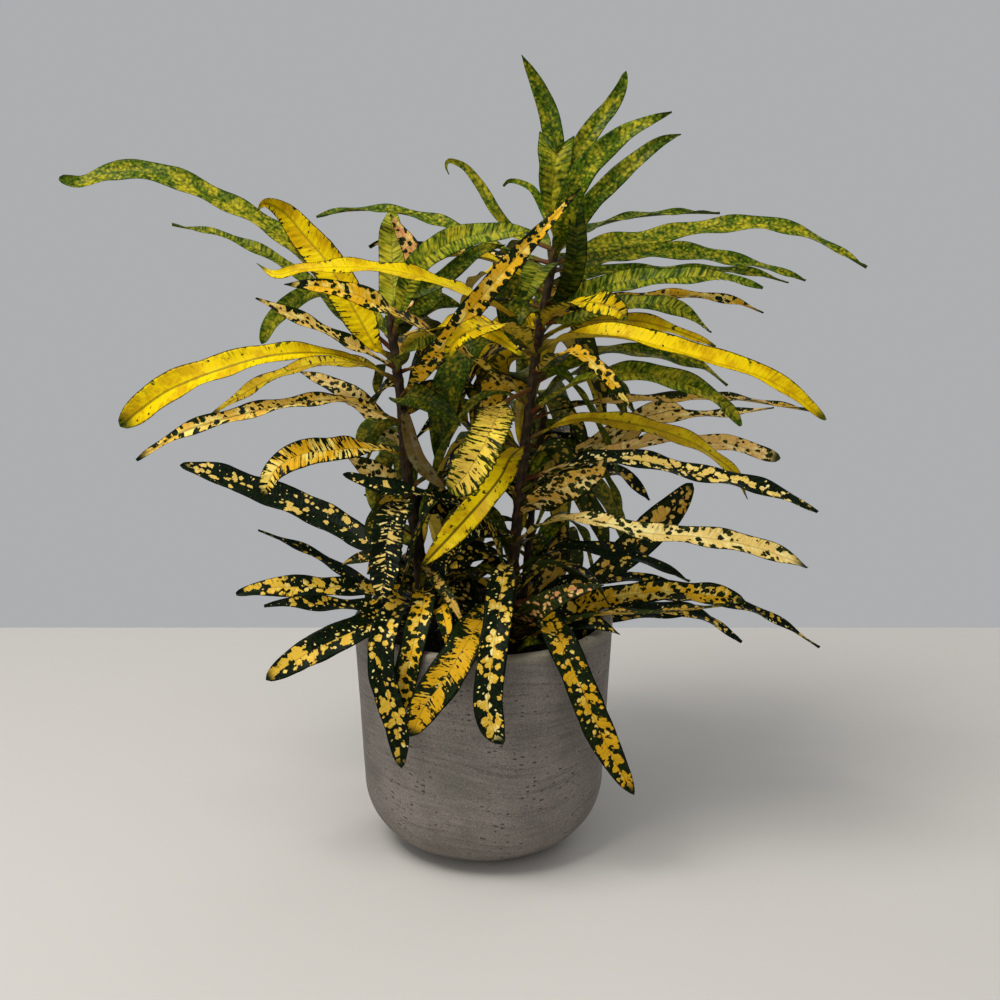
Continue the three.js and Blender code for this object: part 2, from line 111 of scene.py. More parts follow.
# Leaf blades: sizes in mm, and how their width, their waves and their lean change along them
TIP_WIDTH = 0.5
PETIOLE_WIDTH = 2.4
BLADE_THICKNESS = 0.55
MIDRIB_WIDTH = 1.3
MIDRIB_HEIGHT = 0.7
RIB_SPACING = 3.6
RIB_DRIFT = 9.0
WAVE_LENGTH = 31.0
MARGIN_LAG = 1.9
WIDTH_CHANGE = 0.24
WIDTH_CHANGE_LENGTH = 15.0
NOTCH_SLOPE = 1.5
NOTCH_START = 0.8
LEAN_WAVER = 12
LEAN_TURNS = 1.4
BLADE_SIDES = 24

# How fast a fold, a wave and the blade's thinness come on from the midrib to the margin
FOLD_CURVE = 1.3
WAVE_CURVE = 2.0
EDGE_CURVE = 3.0

# How finely a path is drawn: in so many steps between two of its points, and so many steps at least
PATH_STEPS = 30
LEAST_STEPS = 8

# A leaf whose ribs stand higher than FINE_RIBS has its points FINE_STEP apart
FINE_RIBS = 0.2
FINE_STEP = 0.95
PLAIN_STEP = 1.7
HIDDEN_STEP = 2.3

# How far a side vein lies back at its outer end, for each mm that it goes out from the midrib
VEIN_SLANT = 0.42

# Just past half a turn, so that the ring's own middle point still belongs to the upper face
LOWER_FACE = 0.5001

# Stems and their bark
STEM_SIDES = 28
STEM_STEP = 0.9
BUD_SHARE = 0.03
BUD_TIP = 0.12
BARK_RELIEF = {"Furrow depth": 0.9, "Scar height": 0.35, "Scar spacing": 2.6}
FURROWS_AROUND = 2.2
FURROW_LENGTH = 14.0
SCAR_TILT = 1.6
SCAR_SWAY = 9.0
SCAR_SHARPNESS = 14.0

# How a leaf that grows by rule arches: the height of its arch as a share of its reach, how much higher
# that is at the soil and how much is lost by the top of the stem, how late the top of the arch and the
# fall come, and how far it may sweep sideways and roll
GROWN_TOP = (0.18, 0.42)
RISE_AT_SOIL = 1.15
RISE_LOST = 0.75
ARCH_CURVE = 0.7
FALL_CURVE = 2.4
GROWN_SWEEP = 0.3
GROWN_ROLL = 0.7

# Leaves that grow by rule where the picture hides them: the stems they leave and the headings, in
# degrees from +X towards +Y, the share of the stem's height, and ranges for the leaves' sizes. None
# reaches past these places, where the picture would show it beside the plant.
HIDDEN_LEFT = -62
HIDDEN_RIGHT = 66
HIDDEN_BACK = 138
RIM_ROOM = 7
LEAST_SLOPE = 0.1
GROWN_SHARES = (0.1, 0.22, 0.34, 0.46, 0.58, 0.7, 0.8, 0.9, 1.0)
GROWN_LEAVES = {
    "rear": {
        "count": 36, "seed": 11, "levels": (0.26, 0.97), "reach": (80, 150), "fall": (0.0, 0.5),
        "width": (10, 15),
        "slots": ("leaf_green", "leaf_green", "leaf_dark", "leaf_blotched", "leaf_yellow"),
        "headings": (("right", 45, 110), ("left", 70, 130), ("right", 70, 140), ("back", 50, 125))},
    "inner": {
        "count": 34, "seed": 4, "levels": (0.22, 0.9), "reach": (40, 75), "fall": (0.5, 1.2),
        "width": (11, 16),
        "slots": ("leaf_dark", "leaf_dark", "leaf_blotched", "leaf_green"),
        "headings": (("right", 140, 215), ("left", -25, 40), ("back", 150, 210), ("right", 35, 75),
                     ("left", 130, 200))},
    "low": {
        "count": 18, "seed": 9, "levels": (0.12, 0.27), "reach": (34, 58), "fall": (0.1, 0.4),
        "width": (10, 14),
        "slots": ("leaf_dark", "leaf_dark", "leaf_blotched"),
        "headings": (("right", -60, 60), ("left", -50, 60), ("back", 0, 180), ("right", 200, 260),
                     ("left", 90, 220))},
}

# Each stem: its radius at the soil and at the crown, and the places it passes
STEMS = {
    "right": (3.3, 2.0, [(504, 690, 0), (510, 600, -2), (517, 523, -4), (528, 418, -6), (540, 330, -6),
        (553, 262, -4), (559, 225, -2)]),
    "left": (4.0, 2.2, [(426, 692, 6), (419, 553, 4), (408, 480, 2), (401, 400, 0), (393, 340, -2),
        (389, 312, -3)]),
    "back": (2.2, 1.5, [(516, 680, 26), (528, 548, 24), (538, 459, 22), (545, 410, 20)]),
}

# Each leaf: its stem, the picture row where it leaves the stem, its width in mm, how far its upper
# face leans from the sky towards the front from its base to its tip, and the places it passes
LEAVES = {
    "left_long_arch": ("left", 352, 13, (20, 50), [(346, 304, 14), (321, 270, 20), (274, 228, 26),
        (222, 199, 29), (157, 172, 31), (110, 171, 30), (80, 182, 28), (59, 178, 26)]),
    "left_thin_arch": ("left", 357, 8, (10, 35), [(364, 339, 20), (321, 291, 42), (274, 257, 54),
        (222, 234, 62), (172, 224, 66)]),
    "left_broad_curl": ("left", 362, 20, (60, 85), [(376, 346, -8), (362, 322, -8), (344, 291, -4),
        (326, 262, 2), (303, 234, 8), (284, 212, 10), (266, 203, 4), (257, 210, -2)]),
    "left_back_arc": ("left", 340, 11, (40, 80), [(378, 322, 28), (352, 296, 46), (322, 287, 54),
        (300, 297, 62), (282, 310, 66), (269, 325, 68), (262, 344, 68)]),
    "left_bright_arch": ("left", 382, 17, (15, 75), [(372, 365, -12), (352, 358, -20), (326, 351, -30),
        (274, 352, -40), (222, 365, -44), (170, 386, -44), (144, 405, -42), (120, 427, -38)]),
    "left_under_arch": ("left", 380, 12, (20, 35), [(366, 364, 14), (336, 360, 22), (300, 365, 28),
        (264, 380, 32), (238, 396, 34), (212, 414, 34)]),
    "left_long_blotched": ("left", 424, 11, (20, 40), [(380, 411, -10), (362, 403, -16), (339, 398, -24),
        (290, 402, -36), (232, 415, -44), (180, 432, -46), (157, 446, -45), (136, 460, -44)]),
    "left_cream": ("left", 458, 12, (40, 45), [(396, 440, 10), (384, 427, 18), (370, 410, 26),
        (354, 396, 36), (332, 384, 48), (300, 371, 58)]),
    "left_striped": ("left", 455, 14, (10, 50, 80), [(384, 447, -16), (355, 446, -34), (331, 449, -46),
        (308, 452, -54), (290, 458, -58), (273, 472, -60), (262, 497, -60)]),
    "left_dark_big": ("left", 562, 17, (30, 50), [(398, 556, 20), (372, 544, 32), (343, 526, 42),
        (300, 504, 48), (248, 485, 50), (215, 472, 50), (180, 465, 48)]),
    "left_dark_thin": ("left", 600, 8, (20, 35), [(385, 592, 36), (360, 580, 48), (340, 568, 56),
        (304, 548, 64), (258, 530, 68)]),
    "front_small_dark": ("right", 535, 10, (-30, 20, 45), [(492, 520, -24), (470, 505, -38),
        (444, 498, -48), (414, 490, -54), (382, 485, -58), (343, 474, -60)]),
    "left_hanging_ribbed": ("left", 494, 17, (-10, 45, 95), [(403, 504, -20), (393, 514, -34),
        (387, 535, -46), (385, 560, -54), (383, 584, -58), (382, 604, -60)]),
    "left_low_blotched": ("left", 604, 12, (35, 50), [(388, 594, -12), (366, 588, -22), (346, 586, -30),
        (318, 586, -38), (290, 586, -42), (262, 588, -44), (236, 594, -46)]),
    "left_low_wide": ("left", 622, 16, (-20, 40, 80), [(402, 610, -18), (380, 617, -32), (357, 628, -44),
        (326, 643, -52), (300, 657, -56), (266, 680, -58)]),
    "rim_left_hanging": ("left", 614, 14, (-25, 45, 92), [(404, 600, -34), (392, 612, -52),
        (383, 636, -66), (381, 668, -71), (389, 700, -73), (397, 728, -74), (401, 768, -72)]),
    "rim_left_yellow": ("left", 600, 13, (-25, 40, 92), [(424, 590, -30), (421, 612, -52),
        (413, 644, -63), (404, 684, -64), (399, 716, -64)]),
    "front_diagonal": ("right", 594, 19, (0, 35, 90), [(492, 608, -34), (478, 622, -56), (461, 650, -76),
        (443, 680, -82), (425, 706, -84), (411, 737, -84)]),
    "front_centre_hanging": ("right", 560, 15, (0, 45, 92), [(503, 574, -42), (498, 617, -70),
        (492, 660, -84), (488, 702, -87), (493, 730, -87), (502, 745, -86)]),
    "front_right_hanging": ("right", 604, 16, (0, 60, 92), [(534, 608, -24), (548, 620, -44),
        (561, 640, -60), (580, 684, -68), (593, 716, -69), (611, 755, -68), (634, 795, -64)]),
    "rib_green": ("left", 338, 14, (58, 60, 48), [(401, 306, -12), (408, 284, -16), (420, 262, -20),
        (440, 246, -24), (466, 236, -30), (500, 231, -34), (541, 231, -36)]),
    "orange_diagonal": ("left", 398, 11, (120, 98, 75), [(420, 374, -42), (447, 342, -74),
        (472, 309, -86), (502, 273, -90), (543, 228, -92), (581, 188, -90)]),
    "crown_left_flat": ("right", 264, 9, (20, 30), [(532, 257, 2), (500, 246, 6), (461, 229, 18),
        (425, 216, 32), (383, 208, 38), (345, 209, 42), (316, 216, 44)]),
    "yellow_left_long": ("right", 344, 12, (-20, 30, 45), [(524, 328, -18), (505, 308, -34),
        (482, 296, -44), (448, 283, -54), (403, 270, -62), (356, 265, -68), (302, 268, -70),
        (275, 274, -67), (257, 263, -62)]),
    "blotched_left_long": ("right", 404, 12, (-8, 28, 60), [(518, 390, -12), (498, 375, -26),
        (477, 357, -38), (455, 343, -46), (422, 324, -58), (389, 308, -72), (356, 293, -80),
        (323, 286, -84), (284, 284, -86)]),
    "crown_curled_tip": ("right", 250, 6, (60, 60), [(530, 240, 14), (514, 232, 24), (498, 214, 24),
        (480, 185, 28), (466, 168, 29), (455, 162, 28), (448, 161, 26), (446, 167, 24), (449, 174, 23)]),
    "crown_top": ("right", 230, 11, (90, 80), [(557, 190, 10), (553, 135, 16), (547, 108, 19),
        (535, 80, 20), (522, 55, 18)]),
    "crown_folded": ("right", 240, 19, (90, 75, 40), [(552, 218, -10), (552, 190, -13), (555, 165, -14),
        (556, 145, -10), (557, 132, 0)]),
    "crown_back_right": ("right", 233, 11, (75, 75), [(566, 200, 16), (575, 160, 26), (584, 142, 32),
        (598, 121, 37), (611, 106, 40), (621, 88, 41), (626, 71, 41)]),
    "crown_front_right": ("right", 258, 12, (125, 92, 65), [(561, 238, -28), (569, 202, -42),
        (580, 178, -46), (591, 162, -47), (625, 133, -50), (648, 121, -51), (672, 112, -51)]),
    "crown_low_right": ("right", 252, 10, (95, 70, 55), [(573, 234, -6), (590, 204, -12), (604, 189, -14),
        (621, 173, -16), (639, 157, -17), (660, 142, -17), (681, 134, -16)]),
    "crown_forward": ("right", 274, 15, (-30, 20, 85), [(546, 263, -20), (540, 264, -36), (533, 277, -49),
        (528, 292, -56), (525, 307, -58)]),
    "right_thin_back": ("right", 248, 7, (10, 15), [(592, 226, 34), (616, 218, 46), (640, 214, 54),
        (688, 211, 66), (720, 212, 72)]),
    "right_long": ("right", 266, 11, (60, 35, 35), [(592, 246, 4), (640, 238, 8), (688, 229, 10),
        (736, 223, 9), (770, 223, 8), (808, 234, 6), (840, 250, 4), (867, 267, 2)]),
    "right_second": ("right", 272, 12, (60, 40, 40), [(600, 256, 26), (640, 250, 40), (688, 251, 48),
        (736, 259, 52), (773, 268, 54), (806, 280, 54)]),
    "right_ribbed": ("right", 308, 12, (60, 45, 40), [(585, 292, -20), (604, 284, -28), (640, 278, -36),
        (688, 275, -42), (730, 277, -44), (763, 288, -44)]),
    "right_bright_long": ("right", 352, 15, (0, 35, 45), [(560, 336, -22), (580, 329, -32),
        (616, 329, -42), (664, 341, -50), (712, 355, -54), (760, 371, -56), (796, 393, -56),
        (826, 420, -54)]),
    "right_lit_curl": ("right", 330, 14, (-30, 10, 75), [(550, 313, -26), (564, 302, -44),
        (582, 299, -58), (600, 302, -68), (617, 309, -74), (627, 320, -76)]),
    "right_back_green": ("right", 384, 11, (20, 35), [(566, 366, 12), (590, 352, 22), (628, 349, 30),
        (676, 357, 38), (705, 367, 40), (728, 385, 40)]),
    "right_droop_green": ("right", 414, 13, (-10, 35, 45), [(556, 392, -18), (572, 381, -26),
        (600, 373, -34), (640, 371, -42), (680, 380, -46), (710, 393, -48), (728, 407, -48),
        (741, 426, -48)]),
    "right_back_cream": ("right", 420, 8, (20, 25), [(570, 405, 14), (616, 399, 26), (664, 397, 36),
        (736, 397, 44), (775, 403, 46), (812, 410, 46)]),
    "right_droop_yellow": ("right", 440, 11, (25, 45), [(562, 422, -8), (588, 417, -14), (636, 423, -20),
        (684, 437, -24), (712, 453, -26), (734, 472, -26), (748, 499, -26)]),
    "right_dark_long": ("right", 492, 12, (0, 35, 40), [(548, 474, -22), (576, 460, -34), (612, 456, -42),
        (648, 460, -46), (696, 472, -49), (744, 481, -50), (785, 495, -50), (818, 512, -50)]),
    "right_pale_broad": ("right", 516, 17, (140, 105, 80), [(538, 504, -28), (560, 490, -42),
        (583, 480, -50), (598, 471, -54), (607, 456, -54)]),
    "right_cream_long": ("right", 542, 12, (-10, 32, 36), [(546, 520, -32), (576, 515, -50),
        (612, 522, -60), (648, 531, -64), (696, 535, -67), (744, 543, -68), (780, 554, -68),
        (808, 567, -68)]),
    "right_paddle": ("right", 604, 19, (60, 60), [(560, 592, 10), (600, 572, 16), (634, 546, 21),
        (656, 525, 23), (676, 505, 24), (692, 483, 24)]),
    "right_dark_arch": ("right", 572, 10, (-10, 28, 35), [(545, 552, -14), (564, 546, -19),
        (588, 546, -23), (636, 556, -28), (664, 567, -30), (690, 581, -30)]),
    "right_low_blotched": ("right", 620, 14, (25, 45), [(548, 618, 8), (580, 604, 0), (614, 596, -8),
        (660, 590, -14), (700, 592, -18), (730, 597, -20), (745, 600, -20)]),
    "right_low_pink": ("right", 630, 13, (125, 95, 65), [(519, 620, -36), (532, 612, -56),
        (550, 600, -66), (572, 591, -68), (604, 585, -68)]),
    "centre_bright_tip": ("right", 356, 14, (-30, 15, 85), [(524, 336, -36), (505, 322, -68),
        (486, 323, -94), (465, 333, -110), (452, 345, -116), (447, 362, -118)]),
    "centre_ribbed": ("right", 388, 19, (0, 45, 95), [(502, 404, -44), (494, 420, -68), (482, 448, -86),
        (464, 478, -94), (449, 492, -96)]),
    "centre_yellow": ("right", 446, 14, (0, 45, 88), [(510, 456, -44), (500, 476, -58), (480, 502, -68),
        (452, 534, -76), (421, 567, -78)]),
    "back_crown": ("right", 262, 13, (0, -30), [(564, 240, 34), (570, 230, 78), (574, 240, 118),
        (576, 262, 146)]),
    "back_right": ("right", 336, 13, (0, -30), [(560, 312, 34), (576, 300, 78), (590, 306, 116),
        (598, 326, 144)]),
    "back_left": ("left", 372, 13, (0, -30), [(400, 350, 36), (406, 332, 78), (412, 330, 112),
        (416, 342, 140)]),
}

# Leaves that are too small or too hidden to have a solid of their own: their finish, then as above
SMALL_LEAVES = {
    "left_slim": ("leaf_blotched", "left", 368, 10, (30, 45), [(370, 352, -12), (347, 340, -20),
        (321, 327, -28), (290, 313, -34), (256, 298, -40)]),
    "left_low_dark": ("leaf_dark", "left", 622, 11, (20, 40), [(374, 606, 6), (346, 604, 0),
        (318, 603, -6), (290, 602, -10), (264, 606, -12)]),
    "left_short_cream": ("leaf_cream", "left", 492, 13, (40, 50), [(398, 483, -10), (382, 476, -12),
        (366, 467, -15), (346, 455, -17)]),
    "striped_upright": ("leaf_green", "left", 330, 15, (90, 80), [(393, 300, 22), (392, 262, 34),
        (391, 228, 44), (391, 206, 62)]),
    "tan_upright": ("leaf_cream", "left", 326, 11, (80, 70), [(404, 306, 8), (416, 270, 14),
        (411, 248, 17), (400, 230, 19), (390, 214, 20)]),
    "crown_bent": ("leaf_green", "right", 305, 11, (90, 85), [(566, 290, -24), (575, 265, -32),
        (577, 235, -36), (577, 210, -34), (583, 203, -24)]),
    "right_third": ("leaf_green", "right", 284, 9, (50, 30, 30), [(600, 270, 12), (640, 270, 16),
        (690, 269, 20), (731, 269, 21), (758, 273, 21), (789, 282, 20)]),
    "right_fourth": ("leaf_blotched", "right", 316, 9, (20, 30), [(580, 312, 8), (610, 300, 14),
        (640, 295, 20), (690, 294, 26), (736, 301, 28), (764, 312, 28)]),
    "right_short": ("leaf_green", "right", 324, 11, (35, 45), [(584, 316, -4), (610, 305, -8),
        (640, 302, -12), (665, 304, -14), (686, 312, -14), (712, 332, -14)]),
    "right_orange": ("leaf_yellow", "right", 340, 10, (30, 40), [(575, 322, 10), (610, 318, 18),
        (640, 320, 22), (680, 331, 24), (716, 346, 22)]),
    "right_narrow_hanging": ("leaf_blotched", "right", 372, 8, (-30, 20, 80), [(558, 352, -52),
        (575, 350, -68), (600, 368, -78), (615, 385, -82), (633, 412, -84)]),
    "right_mid_cream": ("leaf_cream", "back", 455, 14, (50, 40), [(575, 455, 34), (614, 443, 46),
        (647, 412, 56), (668, 406, 60), (693, 414, 62)]),
    "right_mid_long": ("leaf_cream", "back", 462, 9, (30, 30), [(580, 448, 14), (612, 430, 22),
        (647, 420, 28), (690, 414, 30), (732, 412, 32), (774, 407, 32)]),
    "right_pink_tip": ("leaf_cream", "right", 480, 10, (30, 40), [(580, 462, 2), (618, 450, 4),
        (668, 435, 6), (700, 441, 6), (732, 443, 6), (780, 459, 6)]),
    "right_mid_dark": ("leaf_dark", "back", 490, 11, (25, 40), [(575, 478, 34), (618, 470, 48),
        (650, 500, 56)]),
    "back_triangle": ("leaf_cream", "back", 490, 15, (90, 90), [(560, 478, 30), (574, 458, 38),
        (583, 421, 42)]),
    "back_dark_thin": ("leaf_dark", "back", 460, 7, (30, 40), [(548, 435, 24), (570, 439, 28),
        (595, 450, 30)]),
    "back_tall": ("leaf_cream", "back", 600, 15, (90, 90), [(552, 575, 38), (558, 550, 46),
        (563, 515, 50)]),
    "back_dull": ("leaf_dark", "back", 600, 10, (30, 50), [(574, 580, 40), (626, 576, 52),
        (668, 580, 58)]),
    "right_pale_under": ("leaf_cream", "right", 645, 9, (-10, 0), [(560, 622, -30), (595, 612, -36),
        (664, 609, -38), (727, 604, -36)]),
    "right_rim_thin": ("leaf_dark", "right", 625, 9, (10, 30), [(600, 600, 30), (680, 596, 40),
        (742, 605, 42), (774, 618, 42), (820, 647, 40)]),
    "right_rim_dark": ("leaf_dark", "right", 630, 11, (10, 30), [(600, 612, 8), (673, 608, 14),
        (700, 614, 16), (742, 642, 16)]),
    "right_rim_tip": ("leaf_dark", "right", 636, 9, (10, 35), [(600, 618, 18), (660, 612, 24),
        (700, 614, 26), (738, 637, 26)]),
    "left_tan_hanging": ("leaf_cream", "left", 410, 8, (-20, 40, 80), [(406, 418, -34), (418, 460, -52),
        (446, 490, -58)]),
    "centre_dark_hanging": ("leaf_green", "right", 350, 18, (-20, 40, 85), [(505, 338, -8),
        (470, 345, -14), (447, 390, -18), (438, 468, -18)]),
    "centre_olive": ("leaf_yellow", "right", 360, 15, (-20, 60, 88), [(515, 355, 14), (495, 372, 22),
        (480, 400, 26), (472, 430, 28)]),
    "centre_striped_dark": ("leaf_dark", "right", 545, 13, (-20, 40, 85), [(500, 530, -20),
        (460, 532, -32), (448, 562, -36)]),
    "left_dry_tip": ("leaf_cream", "left", 560, 7, (0, 45, 85), [(432, 575, -28), (448, 596, -44),
        (466, 628, -56)]),
    "centre_bright_right": ("leaf_yellow", "left", 360, 14, (-20, 20, 70), [(420, 335, -40),
        (446, 321, -62), (473, 323, -78), (500, 338, -86), (526, 358, -88)]),
    "centre_speckled": ("leaf_green", "left", 408, 14, (10, 50, 75), [(402, 394, -22), (420, 397, -34),
        (441, 408, -42), (461, 426, -44)]),
    "centre_olive_low": ("leaf_blotched", "right", 400, 16, (0, 60, 88), [(520, 386, 10), (502, 382, 2),
        (490, 400, -6), (487, 430, -8), (492, 455, -6)]),
    "centre_olive_high": ("leaf_yellow", "right", 330, 17, (20, 70, 88), [(524, 322, 20), (505, 330, 26),
        (488, 352, 26), (478, 384, 22)]),
    "centre_behind": ("leaf_blotched", "left", 420, 15, (30, 70, 85), [(412, 402, 24), (432, 392, 34),
        (452, 400, 38), (468, 424, 38)]),
    "centre_shade": ("leaf_dark", "right", 500, 14, (10, 60, 80), [(506, 486, 8), (488, 480, 6),
        (470, 492, 2), (458, 520, -2)]),
    "centre_shade_low": ("leaf_dark", "right", 560, 14, (10, 40, 70), [(498, 552, -6), (476, 550, -14),
        (450, 560, -20), (428, 582, -22)]),
    "core_dark_left": ("leaf_dark", "left", 590, 14, (10, 60, 80), [(424, 576, 12), (440, 566, 16),
        (456, 574, 14), (470, 598, 8)]),
    "core_dark_mid": ("leaf_dark", "left", 520, 15, (20, 60, 85), [(420, 508, 20), (438, 500, 28),
        (454, 512, 30), (466, 546, 26)]),
    "core_dark_right": ("leaf_dark", "right", 470, 14, (20, 60, 85), [(512, 458, 22), (496, 450, 32),
        (482, 462, 36), (472, 500, 34)]),
    "core_green_top": ("leaf_green", "right", 290, 14, (30, 70, 85), [(538, 276, 14), (522, 272, 24),
        (508, 290, 28), (500, 326, 26)]),
    "core_green_right": ("leaf_green", "right", 300, 13, (30, 70, 85), [(560, 288, 14), (574, 284, 24),
        (584, 300, 28), (590, 332, 26)]),
    "core_olive_front": ("leaf_green", "right", 318, 12, (0, 60, 88), [(536, 306, -18), (524, 304, -28),
        (514, 318, -32), (508, 346, -32)]),
    "left_ribbed_low": ("leaf_green", "left", 372, 11, (10, 40, 85), [(402, 352, -30), (415, 342, -44),
        (435, 335, -56), (452, 346, -62)]),
    "behind_left_tall": ("leaf_green", "left", 330, 16, (85, 80), [(405, 310, 20), (430, 296, 36),
        (442, 284, 48)]),
    "behind_left_low": ("leaf_green", "left", 346, 16, (60, 70), [(396, 326, 24), (412, 308, 38),
        (436, 300, 50), (462, 306, 54)]),
    "crown_dark_arc": ("leaf_green", "left", 322, 9, (80, 80), [(400, 300, 8), (440, 280, 10),
        (480, 250, 6), (505, 245, 0)]),
    "crown_thin_curl": ("leaf_dark", "right", 262, 7, (30, 40), [(510, 256, 26), (470, 250, 40),
        (432, 248, 48), (383, 241, 56), (369, 247, 58)]),
    "crown_grey_curl": ("leaf_green", "right", 240, 4.5, (80, 60), [(546, 214, 20), (531, 188, 24),
        (509, 181, 26), (503, 186, 26)]),
    "crown_cream_tip": ("leaf_cream", "right", 300, 7, (60, 80), [(560, 286, 12), (577, 277, 18),
        (570, 294, 20)]),
    "left_dark_tip": ("leaf_dark", "left", 520, 9, (30, 60), [(404, 506, 12), (386, 498, 20),
        (364, 495, 24)]),
    "left_dry_grey": ("leaf_cream", "left", 578, 8, (30, 60), [(400, 568, 10), (378, 556, 18),
        (358, 558, 22), (341, 565, 22)]),
    "rim_tiny": ("leaf_green", "right", 656, 8, (30, 60), [(516, 650, -26), (528, 641, -38),
        (544, 643, -44)]),
    "rim_fill_left": ("leaf_dark", "left", 640, 12, (-10, 30, 70), [(414, 624, -16), (400, 618, -34),
        (384, 632, -50), (374, 656, -60)]),
    "rim_fill_front": ("leaf_blotched", "left", 632, 12, (0, 40, 80), [(432, 612, -24), (440, 606, -44),
        (446, 628, -60), (448, 652, -66)]),
    "rim_fill_right": ("leaf_dark", "right", 650, 11, (10, 40, 60), [(530, 636, -16), (560, 624, -28),
        (592, 622, -36), (620, 634, -40)]),
}

# What a finish's leaves are like unless a leaf says otherwise: how much of the blade is yellow, how
# strongly its marks follow the side veins, how pink they are, how yellow (1) or dark (-1) its midrib
# is, how many small flecks it has, how dark its margin is, and how high its ribs stand in mm
FINISH_TRAITS = {
    "leaf_green": {"yellow": 0.12, "stripes": 0.1, "flecks": 1.25, "margin": 0.5, "ribs": 0.12},
    "leaf_yellow": {"yellow": 1.25, "stripes": 0.4, "midrib": -0.5, "flecks": 0.0, "ribs": 0.2},
    "leaf_blotched": {"yellow": 0.62, "stripes": 0.12, "midrib": 0.1, "flecks": 0.7, "ribs": 0.12},
    "leaf_dark": {"yellow": 0.3, "stripes": 0.08, "flecks": 1.0, "ribs": 0.1},
    "leaf_cream": {"yellow": 0.62, "stripes": 0.12, "pink": 0.15, "flecks": 0.7, "ribs": 0.12},
}

# A leaf's usual outline, with shares of its length: where its petiole ends, where it is widest and
# where its taper starts, how pointed it ends, how its margin is scalloped and waved, how deep its tip
# is notched, how steeply its halves are folded up from the midrib, how pale or dull it is, and how
# light it is on the whole, which is partly its own tone and partly painted shade for leaves that lie
# in the plant's shadow
USUAL_TRAITS = {
    "pink": 0.0, "midrib": 0.0, "margin": 1.0, "petiole": 0.07, "widest": 0.4, "taper": 0.58, "point": 0.8,
    "scallops": 0.0, "waves": 1.0, "notch": 0.0, "fold": 0.24, "pale": 0.0, "dull": 0.0, "shade": 1.0}

